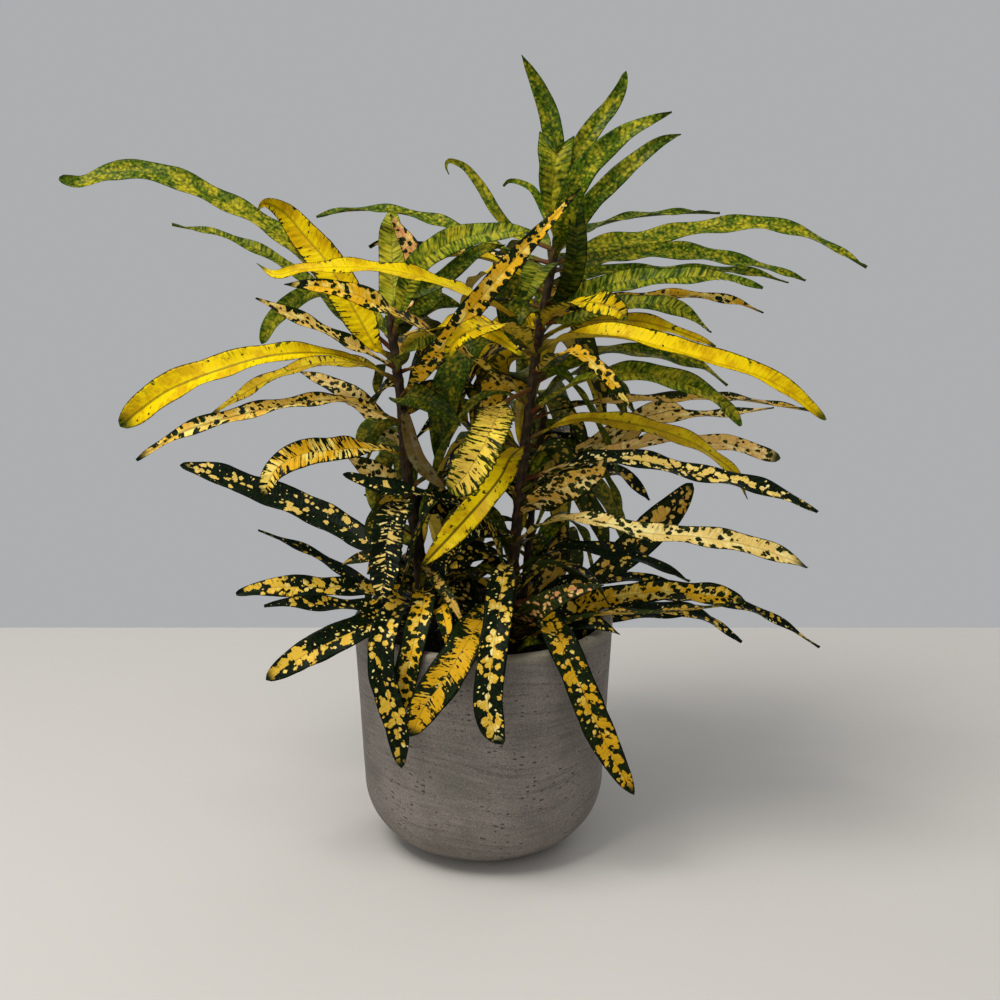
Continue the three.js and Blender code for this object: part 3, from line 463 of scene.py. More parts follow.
# Leaves that differ from their finish's usual traits
LEAF_TRAITS = {
    "left_long_arch": {"yellow": 0.3, "point": 0.35, "taper": 0.7},
    "left_thin_arch": {"yellow": 0.2, "stripes": 0.7},
    "left_broad_curl": {"yellow": 1.2, "stripes": 0.8, "ribs": 0.35, "waves": 0.6, "taper": 0.55,
        "widest": 0.3, "shade": 0.85, "fold": 0.5, "point": 0.9},
    "left_back_arc": {"yellow": 0.35, "flecks": 0.9, "stripes": 0.5, "point": 0.45, "taper": 0.8,
        "shade": 1.15},
    "left_bright_arch": {"yellow": 1.5, "stripes": 0.2, "point": 0.45, "widest": 0.78, "taper": 0.84,
        "fold": 0.42, "midrib": -0.7},
    "left_under_arch": {"yellow": 1.1, "stripes": 0.8, "ribs": 0.3, "dull": 0.35, "shade": 0.85},
    "left_long_blotched": {"yellow": 0.84, "stripes": 0.3, "midrib": -0.6, "pale": 0.2},
    "left_cream": {"yellow": 0.85, "pale": 0.4},
    "left_striped": {"yellow": 0.86, "stripes": 1.0, "ribs": 0.3, "point": 0.5, "taper": 0.7},
    "left_dark_big": {"point": 0.45, "taper": 0.7, "yellow": 0.26, "flecks": 0.6, "pale": 0.4},
    "left_dark_thin": {"yellow": 0.1},
    "front_small_dark": {"point": 0.45, "taper": 0.75, "yellow": 0.16, "pale": 0.4},
    "left_hanging_ribbed": {"yellow": 0.44, "stripes": 0.8, "ribs": 0.5, "scallops": 0.04, "taper": 0.75,
        "pale": 0.5},
    "left_low_blotched": {"yellow": 0.58, "point": 0.5, "taper": 0.7},
    "left_low_wide": {"yellow": 0.6, "point": 0.5, "taper": 0.7},
    "rim_left_hanging": {"yellow": 0.44, "point": 0.5, "taper": 0.75},
    "rim_left_yellow": {"yellow": 0.72, "point": 0.5, "taper": 0.8},
    "front_diagonal": {"yellow": 0.64, "stripes": 0.3, "midrib": 0.2, "point": 0.5, "taper": 0.75},
    "front_centre_hanging": {"yellow": 0.48, "midrib": 1.0, "point": 0.45, "taper": 0.85},
    "front_right_hanging": {"yellow": 0.58, "midrib": 0.3, "point": 0.6, "taper": 0.7},
    "rib_green": {"yellow": 0.34, "stripes": 0.8, "ribs": 0.4, "flecks": 0.3, "shade": 1.1},
    "orange_diagonal": {"yellow": 0.74, "stripes": 0.2},
    "crown_left_flat": {"yellow": 0.1, "flecks": 0.8},
    "yellow_left_long": {"yellow": 1.5, "stripes": 0.2, "ribs": 0.15, "midrib": 0.0},
    "blotched_left_long": {"yellow": 0.86, "taper": 0.7},
    "crown_curled_tip": {"yellow": 0.3, "stripes": 0.3, "petiole": 0.2, "widest": 0.4, "taper": 0.55,
        "waves": 0.4, "shade": 0.9},
    "crown_top": {"yellow": 0.0, "shade": 0.85, "flecks": 0.8},
    "crown_folded": {"yellow": 0.35, "stripes": 0.5, "ribs": 0.4, "point": 0.2, "widest": 0.85,
        "taper": 0.975, "notch": 13.0, "midrib": 0.4, "flecks": 0.8, "fold": 0.35},
    "crown_back_right": {"yellow": 0.3, "shade": 0.9, "point": 0.5},
    "crown_front_right": {"yellow": 0.12, "flecks": 1.0},
    "crown_low_right": {"yellow": 0.05, "shade": 0.8, "flecks": 0.8},
    "crown_forward": {"yellow": 0.14, "stripes": 1.0, "ribs": 0.4, "flecks": 0.2, "shade": 0.7},
    "right_long": {"yellow": 0.26, "widest": 0.2},
    "right_second": {"widest": 0.2, "shade": 0.9},
    "right_ribbed": {"yellow": 0.22, "stripes": 0.8, "ribs": 0.35, "flecks": 0.8, "widest": 0.2},
    "right_bright_long": {"yellow": 1.5, "stripes": 0.2, "midrib": -0.3, "fold": 0.6, "waves": 0.4,
        "point": 0.5, "widest": 0.3},
    "right_lit_curl": {"yellow": 0.9, "stripes": 1.0, "ribs": 0.5, "point": 0.5, "taper": 0.75},
    "right_back_green": {"widest": 0.25},
    "right_droop_green": {"yellow": 0.42, "stripes": 0.6, "flecks": 0.6, "ribs": 0.3, "point": 0.5,
        "shade": 1.1},
    "right_back_cream": {"yellow": 0.7},
    "right_droop_yellow": {"yellow": 1.3, "dull": 0.3},
    "right_dark_long": {"yellow": 0.54, "taper": 0.7, "pale": 0.4},
    "right_pale_broad": {"yellow": 0.8, "pink": 0.2},
    "right_cream_long": {"yellow": 0.95, "pink": 0.0, "pale": 0.5, "taper": 0.8, "point": 0.5},
    "right_paddle": {"yellow": 0.5, "petiole": 0.2, "widest": 0.7, "taper": 0.72, "point": 0.5,
        "pink": 0.25, "pale": 0.2, "shade": 1.15},
    "right_dark_arch": {"yellow": 0.05, "flecks": 0.5},
    "right_low_blotched": {"yellow": 0.74, "stripes": 0.25, "taper": 0.85, "point": 0.5},
    "right_low_pink": {"pink": 1.0, "yellow": 0.44},
    "centre_bright_tip": {"yellow": 0.95, "stripes": 0.4, "point": 0.5},
    "centre_ribbed": {"yellow": 0.84, "stripes": 1.0, "ribs": 0.5, "scallops": 0.06, "petiole": 0.32,
        "widest": 0.5, "taper": 0.86, "point": 0.4, "pale": 0.25, "midrib": 0.0, "shade": 1.15},
    "centre_yellow": {"yellow": 1.2, "stripes": 0.3, "ribs": 0.2, "midrib": -1.0, "taper": 0.7,
        "shade": 0.85},
    "left_slim": {"yellow": 0.76, "pale": 0.4},
    "left_short_cream": {"yellow": 0.85, "pale": 0.3},
    "striped_upright": {"yellow": 0.8, "stripes": 1.0, "ribs": 0.4},
    "tan_upright": {"yellow": 0.9, "pink": 0.8},
    "crown_bent": {"yellow": -0.05, "shade": 0.4, "flecks": 0.2, "stripes": 0.8, "ribs": 0.4},
    "right_third": {"widest": 0.22, "shade": 0.9},
    "right_fourth": {"yellow": 0.95},
    "right_short": {"yellow": 0.3, "stripes": 0.8, "ribs": 0.3, "widest": 0.25},
    "right_narrow_hanging": {"yellow": 0.8, "taper": 0.7},
    "right_mid_cream": {"yellow": 0.95, "pale": 0.3, "shade": 1.2},
    "right_mid_long": {"yellow": 0.85, "pale": 0.3},
    "right_pink_tip": {"yellow": 0.9, "pink": 0.4, "pale": 0.3, "margin": 0.4, "point": 0.4,
        "taper": 0.85},
    "back_triangle": {"yellow": 0.85, "pink": 0.4},
    "left_tan_hanging": {"yellow": 1.2, "margin": 0.0, "dull": 1.0, "shade": 0.25, "petiole": 0.2,
        "widest": 0.72, "taper": 0.8},
    "centre_dark_hanging": {"yellow": 0.0, "flecks": 0.6, "waves": 1.4, "shade": 0.45},
    "centre_olive": {"yellow": 0.8, "dull": 0.3},
    "centre_striped_dark": {"yellow": 0.36, "stripes": 1.0, "ribs": 0.3},
    "centre_speckled": {"yellow": 0.0, "shade": 0.4},
    "centre_olive_low": {"yellow": 0.7, "dull": 0.15},
    "centre_olive_high": {"yellow": 0.85, "dull": 0.3},
    "centre_behind": {"yellow": 0.7, "dull": 0.15},
    # Leaves deep in the plant, darkened as painted shade
    "core_green_top": {"shade": 0.5},
    "core_green_right": {"shade": 0.5},
    "core_olive_front": {"shade": 0.5},
    "left_ribbed_low": {"yellow": 0.3, "stripes": 1.0, "ribs": 0.4},
    "behind_left_tall": {"yellow": 0.2, "shade": 0.75},
    "crown_dark_arc": {"yellow": 0.0, "shade": 0.6},
    "crown_grey_curl": {"yellow": 0.0, "flecks": 0.3, "shade": 1.2},
}

# What each point of a leaf carries for its finish: the attribute, and what its three numbers are
CARRIED = {
    "leaf_place": ("run", "side", "number"),
    "leaf_shape": ("share", "edge", "under"),
    "leaf_make": ("yellow", "stripes", "pink"),
    "leaf_marks": ("midrib", "flecks", "margin"),
    "leaf_tone": ("pale", "dull", "shade"),
}

# Patterns that bend back with a leaf's side veins: their kind, their size along and across the blade
# in mm, and their own inputs. Each is shifted by PATTERN_SHIFT from the one before, each leaf by
# LEAF_SHIFT and each half of a leaf by HALF_SHIFT, so that no two are alike.
VEIN_PATTERNS = {
    "fine": ("noise", 1.4, 1.6, {"Detail": 2.0}),
    "region": ("noise", 11.0, 14.0, {"Detail": 1.0}),
    "bend": ("noise", 2.6, 2.6, {"Detail": 3.0}),
    "streak": ("noise", 1.4, 7.5, {"Detail": 2.0}),
    "freckles": ("cells", 2.1, 2.1, {}),
    "crossing": ("noise", 2.6, 16.0, {"Detail": 1.0}),
}
PATTERN_SHIFT = 10.0
LEAF_SHIFT = 7.31
HALF_SHIFT = 2.7

# Blotches: how far in mm their places are bent, how much longer than wide they are, how far apart the
# cells of a leaf's two halves lie, and the spacing in mm of the fine ripple of the skin
SPOT_BEND = 2.3
SPOT_LENGTH = 1.2
LAYER_STEP = 0.08
RIPPLE_SPACING = 2.4

# How strongly a leaf is marked at a place: the start, what its yellow, its midrib and its margin add,
# how ragged that makes a blotch's rim, how streaks on the veins count, and how big a fleck gets
MARK_START = 0.22
MARK_BY_YELLOW = 0.5
MARK_BY_MIDRIB = 0.2
MARK_BY_MARGIN = -0.26
RAGGED_LEAST = 0.14
RAGGED_BY_YELLOW = 0.3
STREAK_START = 1.5
STREAK_SLOPE = -1.9
FLECK_MOST = 0.36

# Each leaf finish: the dark and the light green of its living tissue, the gold, the pale and the pink
# of its blotches, how softly a blotch ends, how far apart blotches lie in mm, and how much more of them
# some stretches of the blade have than others
LEAF_LOOKS = {
    "leaf_green": {
        "name": "leaf_green_flecked", "deep": "#203406", "light": "#50680a", "gold": "#c4b428",
        "pale": "#b4b42c", "blush": "#c98a5a", "soft": 0.46, "spot": 1.9, "zones": 1.3},
    "leaf_yellow": {
        "name": "leaf_golden", "deep": "#1c2406", "light": "#6f7006", "gold": "#cca404",
        "pale": "#e6c804", "blush": "#d9865a", "soft": 0.02, "spot": 3.2, "zones": 0.9},
    "leaf_blotched": {
        "name": "leaf_blotched_gold", "deep": "#0a1305", "light": "#1b2a07", "gold": "#dca81a",
        "pale": "#f6dc70", "blush": "#d9865a", "soft": 0.015, "spot": 3.0, "zones": 1.0},
    "leaf_dark": {
        "name": "leaf_dark_spotted", "deep": "#050c05", "light": "#12200a", "gold": "#deb43a",
        "pale": "#f6e694", "blush": "#d9a07a", "soft": 0.015, "spot": 3.5, "zones": 1.2},
    "leaf_cream": {
        "name": "leaf_cream_pink", "deep": "#121809", "light": "#343c10", "gold": "#d4a93e",
        "pale": "#f0dc8c", "blush": "#d98a6a", "soft": 0.02, "spot": 3.2, "zones": 1.0},
}

# Colours that all leaves share: the lower face, dull patches, the palest blotches and the stalk
UNDER_GREEN = "#3c4a1c"
UNDER_YELLOW = "#a08c34"
DULL_TAN = "#6b5a2a"
CREAM = "#f0dc96"
STALK_RED = "#5e2a1c"
STALK_OLIVE = "#5c5a1a"

# Cement: the sizes in mm of the brush's marks and of the slow bow in them, of damp patches, grit and
# pits
BRUSH_LENGTH = 38.46
BRUSH_WIDTH = 1.7
BOW_HEIGHT = 45
BOW_LENGTH = 111.1
MOTTLE_SIZE = 26
GRIT_SIZE = 0.8
PIT_LENGTH = 3.4
PIT_HEIGHT = 1.1

# How far below the top of the rim the painted shade inside the pot starts and is full, and where hands'
# wear ends, in mm
INNER_SHADE_START = 2
INNER_SHADE_FULL = 9
WORN_FULL = 2
WORN_END = 5

CEMENT = "#6c655e"
CEMENT_LIGHT = "#7d756e"
BRUSHED_LIGHT = "#918b81"
BRUSHED_DARK = "#524d46"
GRIT_DARK = "#524d47"
GRIT_LIGHT = "#928b83"
DAMP_GREEN = "#63685a"
PIT_SHADE = "#2c2723"
# Painted shade on the inside wall below the rim
PAINTED_SHADE_INSIDE = "#1d1a16"
WORN_RIM = "#979070"

# Peat and bark: the sizes of their marks in mm or in marks around a stem, and their colours
PEAT_GRAIN = 2.2
PEAT_DARK = "#120d0a"
PEAT_LIGHT = "#3a2a1e"
BARK_STREAKS_AROUND = 3.5
BARK_STREAK_LENGTH = 9.0
BARK_DARK = "#0f0b07"
BARK_LIGHT = "#3e2d1a"
SCAR_LIP = "#5d4a2c"


def seen(column, row, depth):
    """The place in mm that is seen at a picture column and row, at a depth behind the pot's axis."""
    right = (column - MIDDLE) / FOCAL
    up = (MIDDLE - row) / FOCAL
    reach = (depth + DISTANCE) / (math.cos(PITCH) + up * math.sin(PITCH))
    rise = up * math.cos(PITCH) - math.sin(PITCH)
    return np.array([SIDE + reach * right, depth, HEIGHT + reach * rise])


def rows_of(places):
    """The picture rows at which places in mm are seen."""
    away = places[:, 1] + DISTANCE
    over = places[:, 2] - HEIGHT
    up = away * math.sin(PITCH) + over * math.cos(PITCH)
    return MIDDLE - FOCAL * up / (away * math.cos(PITCH) - over * math.sin(PITCH))


def smooth_path(points, spacing):
    """Evenly spaced places on the centripetal Catmull-Rom curve through points, and its length."""
    inner = np.asarray(points, float)
    ends = np.vstack([2 * inner[0] - inner[1], inner, 2 * inner[-1] - inner[-2]])
    share = np.linspace(0, 1, PATH_STEPS, endpoint=False)[:, None]
    dense = []
    for before, start, stop, after in zip(ends, ends[1:], ends[2:], ends[3:]):
        d0 = np.linalg.norm(start - before) ** 0.5
        d1 = np.linalg.norm(stop - start) ** 0.5
        d2 = np.linalg.norm(after - stop) ** 0.5
        step = stop - start
        leaving = d1 * ((start - before) / d0 - (stop - before) / (d0 + d1) + step / d1)
        coming = d1 * (step / d1 - (after - start) / (d1 + d2) + (after - stop) / d2)
        square = 3 * step - 2 * leaving - coming
        cube = leaving + coming - 2 * step
        dense.append(start + leaving * share + square * share**2 + cube * share**3)
    dense = np.vstack([*dense, inner[-1:]])
    run = run_along(dense)
    even = np.linspace(0, run[-1], max(LEAST_STEPS, round(run[-1] / spacing)) + 1)
    places = np.stack([np.interp(even, run, dense[:, axis]) for axis in range(3)], axis=1)
    return places, run[-1]


def run_along(places):
    """How far along their line each of the places lies."""
    return np.append(0, np.cumsum(np.linalg.norm(np.diff(places, axis=0), axis=1)))


def unit(vectors):
    """The same directions, each one long."""
    return vectors / np.linalg.norm(vectors, axis=1, keepdims=True)


def hex_colour(code):
    """An sRGB hex value as linear red, green, blue and alpha."""
    parts = [int(code[i:i + 2], 16) / 255 for i in (1, 3, 5)]
    return (*(c / 12.92 if c <= 0.04045 else ((c + 0.055) / 1.055) ** 2.4 for c in parts), 1.0)


# Short names for the nodes that are used most; a maths operation goes by its own name in capitals
NODE_KINDS = {
    "ramp": ("ShaderNodeMapRange", {"interpolation_type": "SMOOTHSTEP"}),
    "tint": ("ShaderNodeMixRGB", {}),
    "noise": ("ShaderNodeTexNoise", {}),
    "cells": ("ShaderNodeTexVoronoi", {}),
    "vector": ("ShaderNodeCombineXYZ", {}),
    "parts": ("ShaderNodeSeparateXYZ", {}),
    "carried": ("ShaderNodeAttribute", {}),
    "between": ("ShaderNodeMix", {}),
    "bump": ("ShaderNodeBump", {}),
    "scaled": ("ShaderNodeVectorMath", {"operation": "SCALE"}),
    "plus": ("ShaderNodeVectorMath", {"operation": "ADD"}),
    "rail number": ("GeometryNodeInputNamedAttribute", {"data_type": "FLOAT"}),
    "rail vector": ("GeometryNodeInputNamedAttribute", {"data_type": "FLOAT_VECTOR"}),
    "random vector": ("FunctionNodeRandomValue", {"data_type": "FLOAT_VECTOR"}),
    "store": ("GeometryNodeStoreNamedAttribute", {"data_type": "FLOAT_VECTOR"}),
}


def feed(node, inputs):
    """Sets or links a node's inputs, by number or by name.

    Hex text is a colour, and a node given as a value is linked by its first live output.
    """
    for key, value in inputs.items():
        if isinstance(value, str) and value.startswith("#"):
            value = hex_colour(value)
        if isinstance(value, bpy.types.Node):
            value = next(output for output in value.outputs if output.enabled)
        if isinstance(value, bpy.types.NodeSocket):
            node.id_data.links.new(value, node.inputs[key])
        elif value is not None:
            node.inputs[key].default_value = value


def put(tree, kind, *feeds, sockets=None, **settings):
    """Adds one node with its settings; feeds are its inputs in order, sockets its inputs by name."""
    kind, usual = NODE_KINDS.get(kind, (kind, {}))
    if kind.isupper():
        kind, usual = "ShaderNodeMath", {"operation": kind}
    node = tree.nodes.new(kind)
    for name, value in {**usual, **settings}.items():
        setattr(node, name, value)
    feed(node, {**dict(enumerate(feeds)), **(sockets or {})})
    return node


def new_shape(name, inputs):
    """A geometry tree with the named inputs: itself, how to add a node to it, and its inputs."""
    tree = bpy.data.node_groups.new(name, "GeometryNodeTree")
    tree.interface.new_socket("Geometry", in_out="INPUT", socket_type="NodeSocketGeometry")
    for label, kind in inputs.items():
        tree.interface.new_socket(label, in_out="INPUT", socket_type=f"NodeSocket{kind}")
    tree.interface.new_socket("Geometry", in_out="OUTPUT", socket_type="NodeSocketGeometry")
    return tree, partial(put, tree), tree.nodes.new("NodeGroupInput").outputs


def new_finish(name):
    """A new material: itself, how to add a node to it, and its shader."""
    material = bpy.data.materials.new(name)
    material.use_nodes = True
    tree = material.node_tree
    return material, partial(put, tree), tree.nodes["Principled BSDF"]


def close_shape(add, shape, finish):
    """Ends a tree with real faces, shaded smooth, in the given finish."""
    real = add("GeometryNodeRealizeInstances", shape)
    smooth = add("GeometryNodeSetShadeSmooth", real)
    add("NodeGroupOutput", add("GeometryNodeSetMaterial", smooth, sockets={"Material": finish}))


def swept_ring(add, shape, sides, caps):
    """Sweeps a ring along a rail, and gives the ring's own share around it at each point."""
    rail = add("GeometryNodeMeshToCurve", shape)
    ring = add("GeometryNodeCurvePrimitiveCircle", sockets={"Resolution": sides})
    held = add("GeometryNodeCaptureAttribute")
    held.capture_items.new("FLOAT", "Share")
    feed(held, {0: ring, 1: add("GeometryNodeSplineParameter").outputs["Factor"]})
    tube = add("GeometryNodeCurveToMesh", rail, held.outputs[0], sockets={"Fill Caps": caps})
    return tube, held.outputs[1]


def moved_out(add, ways):
    """The rail's centre, moved along each named way of the rail by a measure in mm."""
    place = add("rail vector", "centre")
    for way, measure in ways.items():
        step = add("scaled", add("rail vector", way), sockets={"Scale": add("MULTIPLY", measure, MM)})
        place = add("plus", place, step)
    return place


def around(add, angle, radius, height):
    """A place at an angle and a radius around an upright line."""
    to_side = add("MULTIPLY", add("COSINE", angle), radius)
    return add("vector", to_side, add("MULTIPLY", add("SINE", angle), radius), height)


def blade_point(add, given, turn):
    """Where each point of the ring lies on the blade, by name, in mm or as a share."""
    at = {"run": add("rail number", "run"), "share": add("rail number", "share")}
    signed = add("SUBTRACT", add("ABSOLUTE", add("MULTIPLY_ADD", turn, 4.0, -2.0)), 1.0)
    at["edge"] = add("ABSOLUTE", signed)
    at["half"] = add("SIGN", signed)
    at["under"] = add("GREATER_THAN", turn, LOWER_FACE)
    uneven_at = add("vector", add("DIVIDE", at["run"], WIDTH_CHANGE_LENGTH), at["half"], given["Number"])
    at["uneven"] = add("noise", uneven_at, sockets={"Scale": 1.0, "Detail": 2.0})
    width_change = add("MULTIPLY_ADD", at["uneven"], WIDTH_CHANGE, 1 - WIDTH_CHANGE / 2)
    at["reach"] = add("MULTIPLY", add("rail number", "half"), width_change)
    at["side"] = add("MULTIPLY", add("MULTIPLY", signed, at["reach"]), add("COSINE", given["Fold"]))
    at["away"] = add("ABSOLUTE", at["side"])
    return at


def blade_rise(add, given, at):
    """How far above the rail a point of the blade lies in mm, and how far its fold alone lifts it."""
    edge = at["edge"]
    sunk = add("SUBTRACT", add("POWER", edge, FOLD_CURVE), 1.0)
    lift = add("MULTIPLY", add("MULTIPLY", at["reach"], add("SINE", given["Fold"])), sunk)
    along_vein = add("MULTIPLY_ADD", at["away"], -VEIN_SLANT, at["run"])
    drift = add("MULTIPLY", at["uneven"], RIB_DRIFT)
    rib = add("COSINE", add("MULTIPLY_ADD", along_vein, FULL_TURN / RIB_SPACING, drift))
    inside = add("MULTIPLY", add("MULTIPLY", edge, add("SUBTRACT", 1.0, edge)), 4.0)
    ribs = add("MULTIPLY", add("MULTIPLY", rib, inside), given["Ribs"])
    phase = add("MULTIPLY_ADD", at["half"], MARGIN_LAG, given["Number"])
    turns = add("MULTIPLY_ADD", add("DIVIDE", at["run"], WAVE_LENGTH), FULL_TURN, phase)
    wave = add("MULTIPLY", add("SINE", turns), given["Waves"])
    waves = add("MULTIPLY", wave, add("POWER", edge, WAVE_CURVE))
    surface = add("ADD", add("ADD", lift, ribs), waves)

    body = add("MULTIPLY", add("SUBTRACT", 1.0, add("POWER", edge, EDGE_CURVE)), BLADE_THICKNESS)
    keel = add("MAXIMUM", add("SUBTRACT", 1.0, add("DIVIDE", at["away"], MIDRIB_WIDTH)), 0.0)
    thick = add("MULTIPLY_ADD", keel, MIDRIB_HEIGHT, body)
    return add("SUBTRACT", surface, add("MULTIPLY", at["under"], thick)), lift


def blade_shape():
    """Leaf blade along a rail: folded at the midrib, raised between the side veins, waved at the margin.

    The rail's points carry their centre, the ways along, across and up, how far along the leaf they
    are, half the width, and how much of the round petiole they are. Sizes are in mm.
    """
    tree, add, given = new_shape("leaf_blade", {
        "Ribs": "Float", "Waves": "Float", "Notch": "Float", "Fold": "Float", "Number": "Float",
        "Make": "Vector", "Marks": "Vector", "Tone": "Vector", "Finish": "Material"})
    tube, turn = swept_ring(add, given["Geometry"], BLADE_SIDES, True)
    at = blade_point(add, given, turn)
    rise, lift = blade_rise(add, given, at)

    angle = add("MULTIPLY", turn, FULL_TURN)
    round_side = add("MULTIPLY", add("COSINE", angle), PETIOLE_WIDTH / 2)
    round_rise = add("MULTIPLY_ADD", add("SINE", angle), PETIOLE_WIDTH / 2, lift)
    petiole = add("rail number", "petiole")
    to_side = add("between", sockets={"Factor": petiole, "A": at["side"], "B": round_side})
    to_rise = add("between", sockets={"Factor": petiole, "A": rise, "B": round_rise})
    opened = add("MULTIPLY_ADD", at["away"], -NOTCH_SLOPE, given["Notch"])
    notch = add("MULTIPLY", add("MAXIMUM", opened, 0.0), add("ramp", at["share"], NOTCH_START, 1.0))

    ways = {"across": to_side, "upper": to_rise, "along": add("MULTIPLY", notch, -1.0)}
    shaped = add("GeometryNodeSetPosition", tube, sockets={"Position": moved_out(add, ways)})
    for label, value in {
            "leaf_place": add("vector", at["run"], at["side"], given["Number"]),
            "leaf_shape": add("vector", at["share"], at["edge"], at["under"]),
            "leaf_make": given["Make"],
            "leaf_marks": given["Marks"],
            "leaf_tone": given["Tone"]}.items():
        shaped = add("store", shaped, None, label, value)
    close_shape(add, add("GeometryNodeFlipFaces", shaped), given["Finish"])
    return tree


def rail_object(name, places, values, vectors):
    """A polyline whose points carry named values and vectors, ready for a tree to follow."""
    mesh = bpy.data.meshes.new(name)
    mesh.from_pydata(places * MM, [(i, i + 1) for i in range(len(places) - 1)], [])
    for label, numbers in values.items():
        mesh.attributes.new(label, "FLOAT", "POINT").data.foreach_set("value", np.asarray(numbers, float))
    for label, numbers in vectors.items():
        rows = np.asarray(numbers, float).reshape(-1)
        mesh.attributes.new(label, "FLOAT_VECTOR", "POINT").data.foreach_set("vector", rows)
    piece = bpy.data.objects.new(name, mesh)
    bpy.context.collection.objects.link(piece)
    return piece


def follow(piece, tree, settings):
    """Gives a piece the tree as a modifier, with its named inputs set."""
    identifiers = {item.name: item.identifier for item in tree.interface.items_tree
                   if item.in_out == "INPUT"}
    modifier = piece.modifiers.new("shape", "NODES")
    modifier.node_group = tree
    for name, value in settings.items():
        modifier[identifiers[name]] = value
    return piece


def settle(pieces):
    """Turns what each piece's modifiers make into its own plain mesh."""
    graph = bpy.context.evaluated_depsgraph_get()
    meshes = [bpy.data.meshes.new_from_object(piece.evaluated_get(graph)) for piece in pieces]
    for piece, mesh in zip(pieces, meshes):
        piece.modifiers.clear()
        piece.data = mesh


def attach(piece, slot, *nodes):
    """Lets a piece ride with the pot, in place of the plain solids of the same thing."""
    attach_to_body(piece, "root")
    if nodes:
        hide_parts(*nodes)


def blade_width(share, traits):
    """Share of the blade's full width at shares of the leaf's length."""
    opened = np.clip((share - traits["petiole"]) / (traits["widest"] - traits["petiole"]), 0, 1)
    closing = np.clip((share - traits["taper"]) / (1 - traits["taper"]), 0, 1)
    return np.sin(np.pi / 2 * opened) * np.cos(np.pi / 2 * closing) ** traits["point"]


def leaf_blade(name, slot, points, facing_of, width, number, step=PLAIN_STEP):
    """A leaf through points in mm; facing_of gives the way that its upper face looks."""
    traits = {**USUAL_TRAITS, **FINISH_TRAITS[slot], **LEAF_TRAITS.get(name, {})}
    places, length = smooth_path(points, FINE_STEP if traits["ribs"] > FINE_RIBS else step)
    share = np.linspace(0, 1, len(places))
    along = unit(np.gradient(places, axis=0))
    facing = facing_of(share, along)
    upper = unit(facing - along * np.sum(facing * along, axis=1, keepdims=True))
    run = share * length
    least = np.where(share > traits["taper"], TIP_WIDTH, PETIOLE_WIDTH)
    half = np.maximum(width * blade_width(share, traits), least) / 2
    half = half * (1 + traits["scallops"] * np.cos(2 * np.pi * run / RIB_SPACING))
    petiole = np.clip(1.5 - share / traits["petiole"], 0, 1)
    blade_share = (share - traits["petiole"]) / (1 - traits["petiole"])
    piece = rail_object(
        f"blade_{name}", places, {"half": half, "petiole": petiole, "run": run, "share": blade_share},
        {"centre": places * MM, "across": np.cross(along, upper), "upper": upper, "along": along})
    settings = {trait.capitalize(): traits[trait] for trait in ("ribs", "waves", "notch", "fold")}
    for label in ("make", "marks", "tone"):
        settings[label.capitalize()] = tuple(traits[trait] for trait in CARRIED[f"leaf_{label}"])
    return follow(piece, BLADE, {**settings, "Number": float(number), "Finish": FINISHES[slot]})


def leaning(leans, number):
    """Facings that lean from the sky towards the front, in degrees from the leaf's base to its tip."""
    def facing_of(share, _along):
        waver = LEAN_WAVER * share * np.sin(2 * np.pi * LEAN_TURNS * share + number)
        lean = np.radians(np.interp(share, np.linspace(0, 1, len(leans)), leans) + waver)
        return np.stack([np.zeros_like(lean), -np.sin(lean), np.cos(lean)], axis=1)
    return facing_of


def headed(heading, roll):
    """Facings of a leaf that arches level with the sky, turned a little about its own length."""
    level = np.array([math.sin(heading), -math.cos(heading), 0.0])

    def facing_of(_share, along):
        return np.cross(level, along) + roll * level
    return facing_of


def stem_place(side, row):
    """The place on a stem's centre line that is seen at a picture row."""
    places = STEM_PATHS[side]
    return np.array([np.interp(-row, -rows_of(places), places[:, axis]) for axis in range(3)])


def read_leaf(name, slot, stem, row, width, leans, path, number):
    """A leaf whose places were read from the picture."""
    points = [stem_place(stem, row), *(seen(*place) for place in path)]
    return leaf_blade(name, slot, points, leaning(leans, number), width, number)


def hidden_room(base, way):
    """How far a leaf may go from its base before it would show beside the plant or behind it."""
    rooms = [(HIDDEN_BACK - base[1]) / max(way[1], LEAST_SLOPE)]
    if way[0] > 0:
        rooms.append((HIDDEN_RIGHT - base[0]) / max(way[0], LEAST_SLOPE))
    else:
        rooms.append((base[0] - HIDDEN_LEFT) / max(-way[0], LEAST_SLOPE))
    return min(rooms)


def over_rim(point):
    """A place in mm, lifted where a leaf would pass through the soil or the pot's wall."""
    from_axis = math.hypot(point[0], point[1])
    if from_axis < POT_RIM_RADIUS - POT_WALL - RIM_ROOM:
        least = SOIL_TOP + RIM_ROOM
    elif from_axis < POT_RIM_RADIUS + RIM_ROOM:
        least = POT_HEIGHT + RIM_ROOM
    else:
        least = 0
    return np.array([point[0], point[1], max(point[2], least)])


